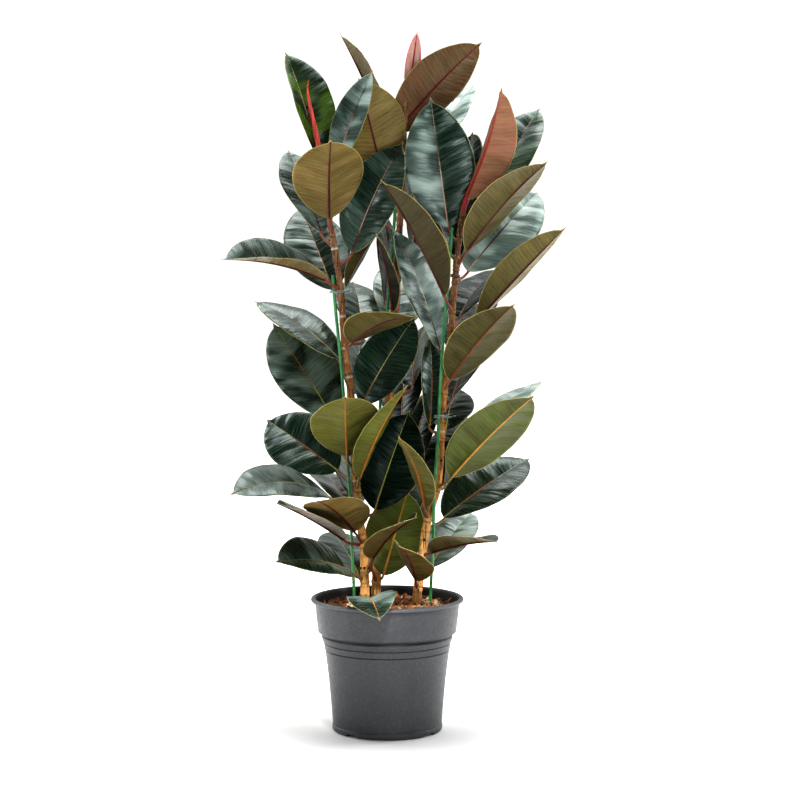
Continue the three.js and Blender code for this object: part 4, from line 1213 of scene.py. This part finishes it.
def chip(chance, x, y, level):
    """One shred of bark: a bent, twisted strip with ragged ends."""
    length = chance.uniform(*CHIP_LENGTH)
    if chance.random() < SHORT_CHIPS["share"]:
        length *= SHORT_CHIPS["length"]
    width = chance.uniform(*CHIP_WIDTH)
    thick = chance.uniform(*CHIP_THICKNESS)
    bend = chance.uniform(-0.9, 0.9)
    twist = chance.uniform(-0.8, 0.8)
    points, kinds = [], []
    tint = min(1.0, max(0.0, chance.gauss(*CHIP_TINT)))
    for i in range(CHIP_RINGS):
        t = i / (CHIP_RINGS - 1) - 0.5
        taper = 1 - (2 * abs(t)) ** chance.uniform(2, 6) * chance.uniform(0.3, 0.9)
        taper *= chance.uniform(0.8, 1.1)
        for j in range(CHIP_SIDES):
            turn = 2 * math.pi * j / CHIP_SIDES + twist * t
            across = math.cos(turn) * width / 2 * taper * chance.uniform(0.85, 1.1)
            up = math.sin(turn) * thick / 2 * taper * chance.uniform(0.75, 1.2)
            points.append(Vector((t * length, across, up + bend * (t * t - 0.08) * length * 0.4)))
            kinds.append((tint, across, 0))
    tilt = Euler((*[chance.gauss(0, spread) for spread in CHIP_TILT], chance.uniform(0, 2 * math.pi)))
    for p in points:
        p.rotate(tilt)
    lift = level - min(p.z for p in points) * 0.55 - chance.uniform(0, 1.5)
    return [(p.x + x, p.y + y, p.z + lift) for p in points], kinds


def make_chips():
    """Bark shreds all over the soil; a shred that would reach the wall is left out."""
    chance = random.Random(CHIP_SEED)
    points, faces, kinds = [], [], []
    one = grid_faces(CHIP_RINGS, CHIP_SIDES, closed=True) + caps(CHIP_RINGS * CHIP_SIDES, CHIP_SIDES)
    for _ in range(CHIP_TRIES):
        radius = SOIL_RADIUS * math.sqrt(chance.random())
        turn = chance.uniform(0, 2 * math.pi)
        x, y = radius * math.cos(turn), radius * math.sin(turn)
        made, kind = chip(chance, x, y, bark_level(x, y) + chance.uniform(0.0, 6.0))
        if max(math.hypot(p[0], p[1]) for p in made) > SOIL_RADIUS - 0.4:
            continue
        start = len(points)
        points += made
        kinds += kind
        faces += [[i + start for i in face] for face in one]
    chips = new_piece("barkpiece_chips", points, faces, [bark_chip()])
    fix_normals(chips)
    give(chips, "chip_kind", kinds)
    sharpen(chips, CHIP_SHARP)
    return part_of_plant(chips, "bark_mulch")


# ---- Camera, floor and light ----


def make_camera():
    data = bpy.data.cameras.new("camera")
    data.lens = CAMERA["lens"]
    data.sensor_width = CAMERA["sensor"]
    data.clip_end = CAMERA["sees"]
    camera = link(bpy.data.objects.new("camera", data))
    camera.location = CAMERA["place"]
    camera.rotation_euler = (math.radians(90 - CAMERA["pitch"]), 0, 0)
    bpy.context.scene.camera = camera


def hang(data, place, target):
    """Puts a light in its place, turned to its target."""
    lamp = link(bpy.data.objects.new(data.name, data))
    lamp.location = place
    lamp.rotation_euler = (Vector(target) - Vector(place)).to_track_quat("-Z", "Y").to_euler()
    return lamp


def make_light():
    """Softboxes all round and a small spot on the bark."""
    for name, place, size, power in LIGHTS:
        data = bpy.data.lights.new(name, "AREA")
        data.shape = "RECTANGLE"
        data.size, data.size_y = size
        data.energy = power
        hang(data, place, LIGHT_TARGET).visible_camera = False
    data = bpy.data.lights.new("bark_spot", "SPOT")
    data.energy = BARK_SPOT["power"]
    data.spot_size = math.radians(BARK_SPOT["angle"])
    data.spot_blend = BARK_SPOT["blend"]
    data.shadow_soft_size = BARK_SPOT["radius"]
    hang(data, BARK_SPOT["place"], BARK_SPOT["target"])


def make_world():
    """White all round for the eye; for the light, bright behind the plant and dark in front."""
    world = bpy.data.worlds.new("world")
    world.use_nodes = True
    nodes = Nodes(world.node_tree)
    seen = nodes.tree.nodes["Background"]
    nodes.put("#ffffff", seen.inputs["Color"])
    nodes.put(1.0, seen.inputs["Strength"])
    facing = nodes.add("ShaderNodeSeparateXYZ", {0: nodes.add("ShaderNodeTexCoord").outputs["Generated"]})
    level = nodes.ramp(facing.outputs["Y"], -0.35, 0.85, ROOM_FRONT, ROOM_BACK)
    room = nodes.add("ShaderNodeBackground", {"Color": ROOM_COLOUR, "Strength": level})
    eye = nodes.add("ShaderNodeLightPath").outputs["Is Camera Ray"]
    mixed = nodes.add("ShaderNodeMixShader", {0: eye, 1: room.outputs[0], 2: seen.outputs[0]})
    nodes.put(mixed.outputs[0], nodes.tree.nodes["World Output"].inputs[0])
    bpy.context.scene.world = world


def make_floor():
    turns = np.linspace(0, 2 * np.pi, FLOOR_SIDES + 1)[:-1]
    points = [(math.cos(turn) * FLOOR_RADIUS, math.sin(turn) * FLOOR_RADIUS, 0) for turn in turns]
    new_piece("floor", points, [list(range(FLOOR_SIDES))], [pale_floor()])


# ---- The scene ----

view = bpy.context.scene.view_settings
view.view_transform = "Standard"
view.look = "Medium High Contrast"
make_camera()
make_light()
make_world()
make_floor()
make_pot()
make_soil()
make_chips()
for stem_name in STEMS:
    make_stem(stem_name)
green = stake_plastic()
for stake_name in STAKES:
    make_stake(stake_name, green)
coats = {
    "pale": tie_coat("tie_pale", "#9fb0ac", "#4c5f5c"),
    "green": tie_coat("tie_green", "#5a7f76", "#1f3a34"),
    "dark": tie_coat("tie_dark", "#1d1d1a", "#57502c"),
}
for tie_name, stem_name, height, bearing, tail, coat in TIES:
    make_tie(tie_name, stem_name, height, bearing, tail, coats[coat])
for number, row in enumerate(LEAVES):
    make_leaf(row, number)
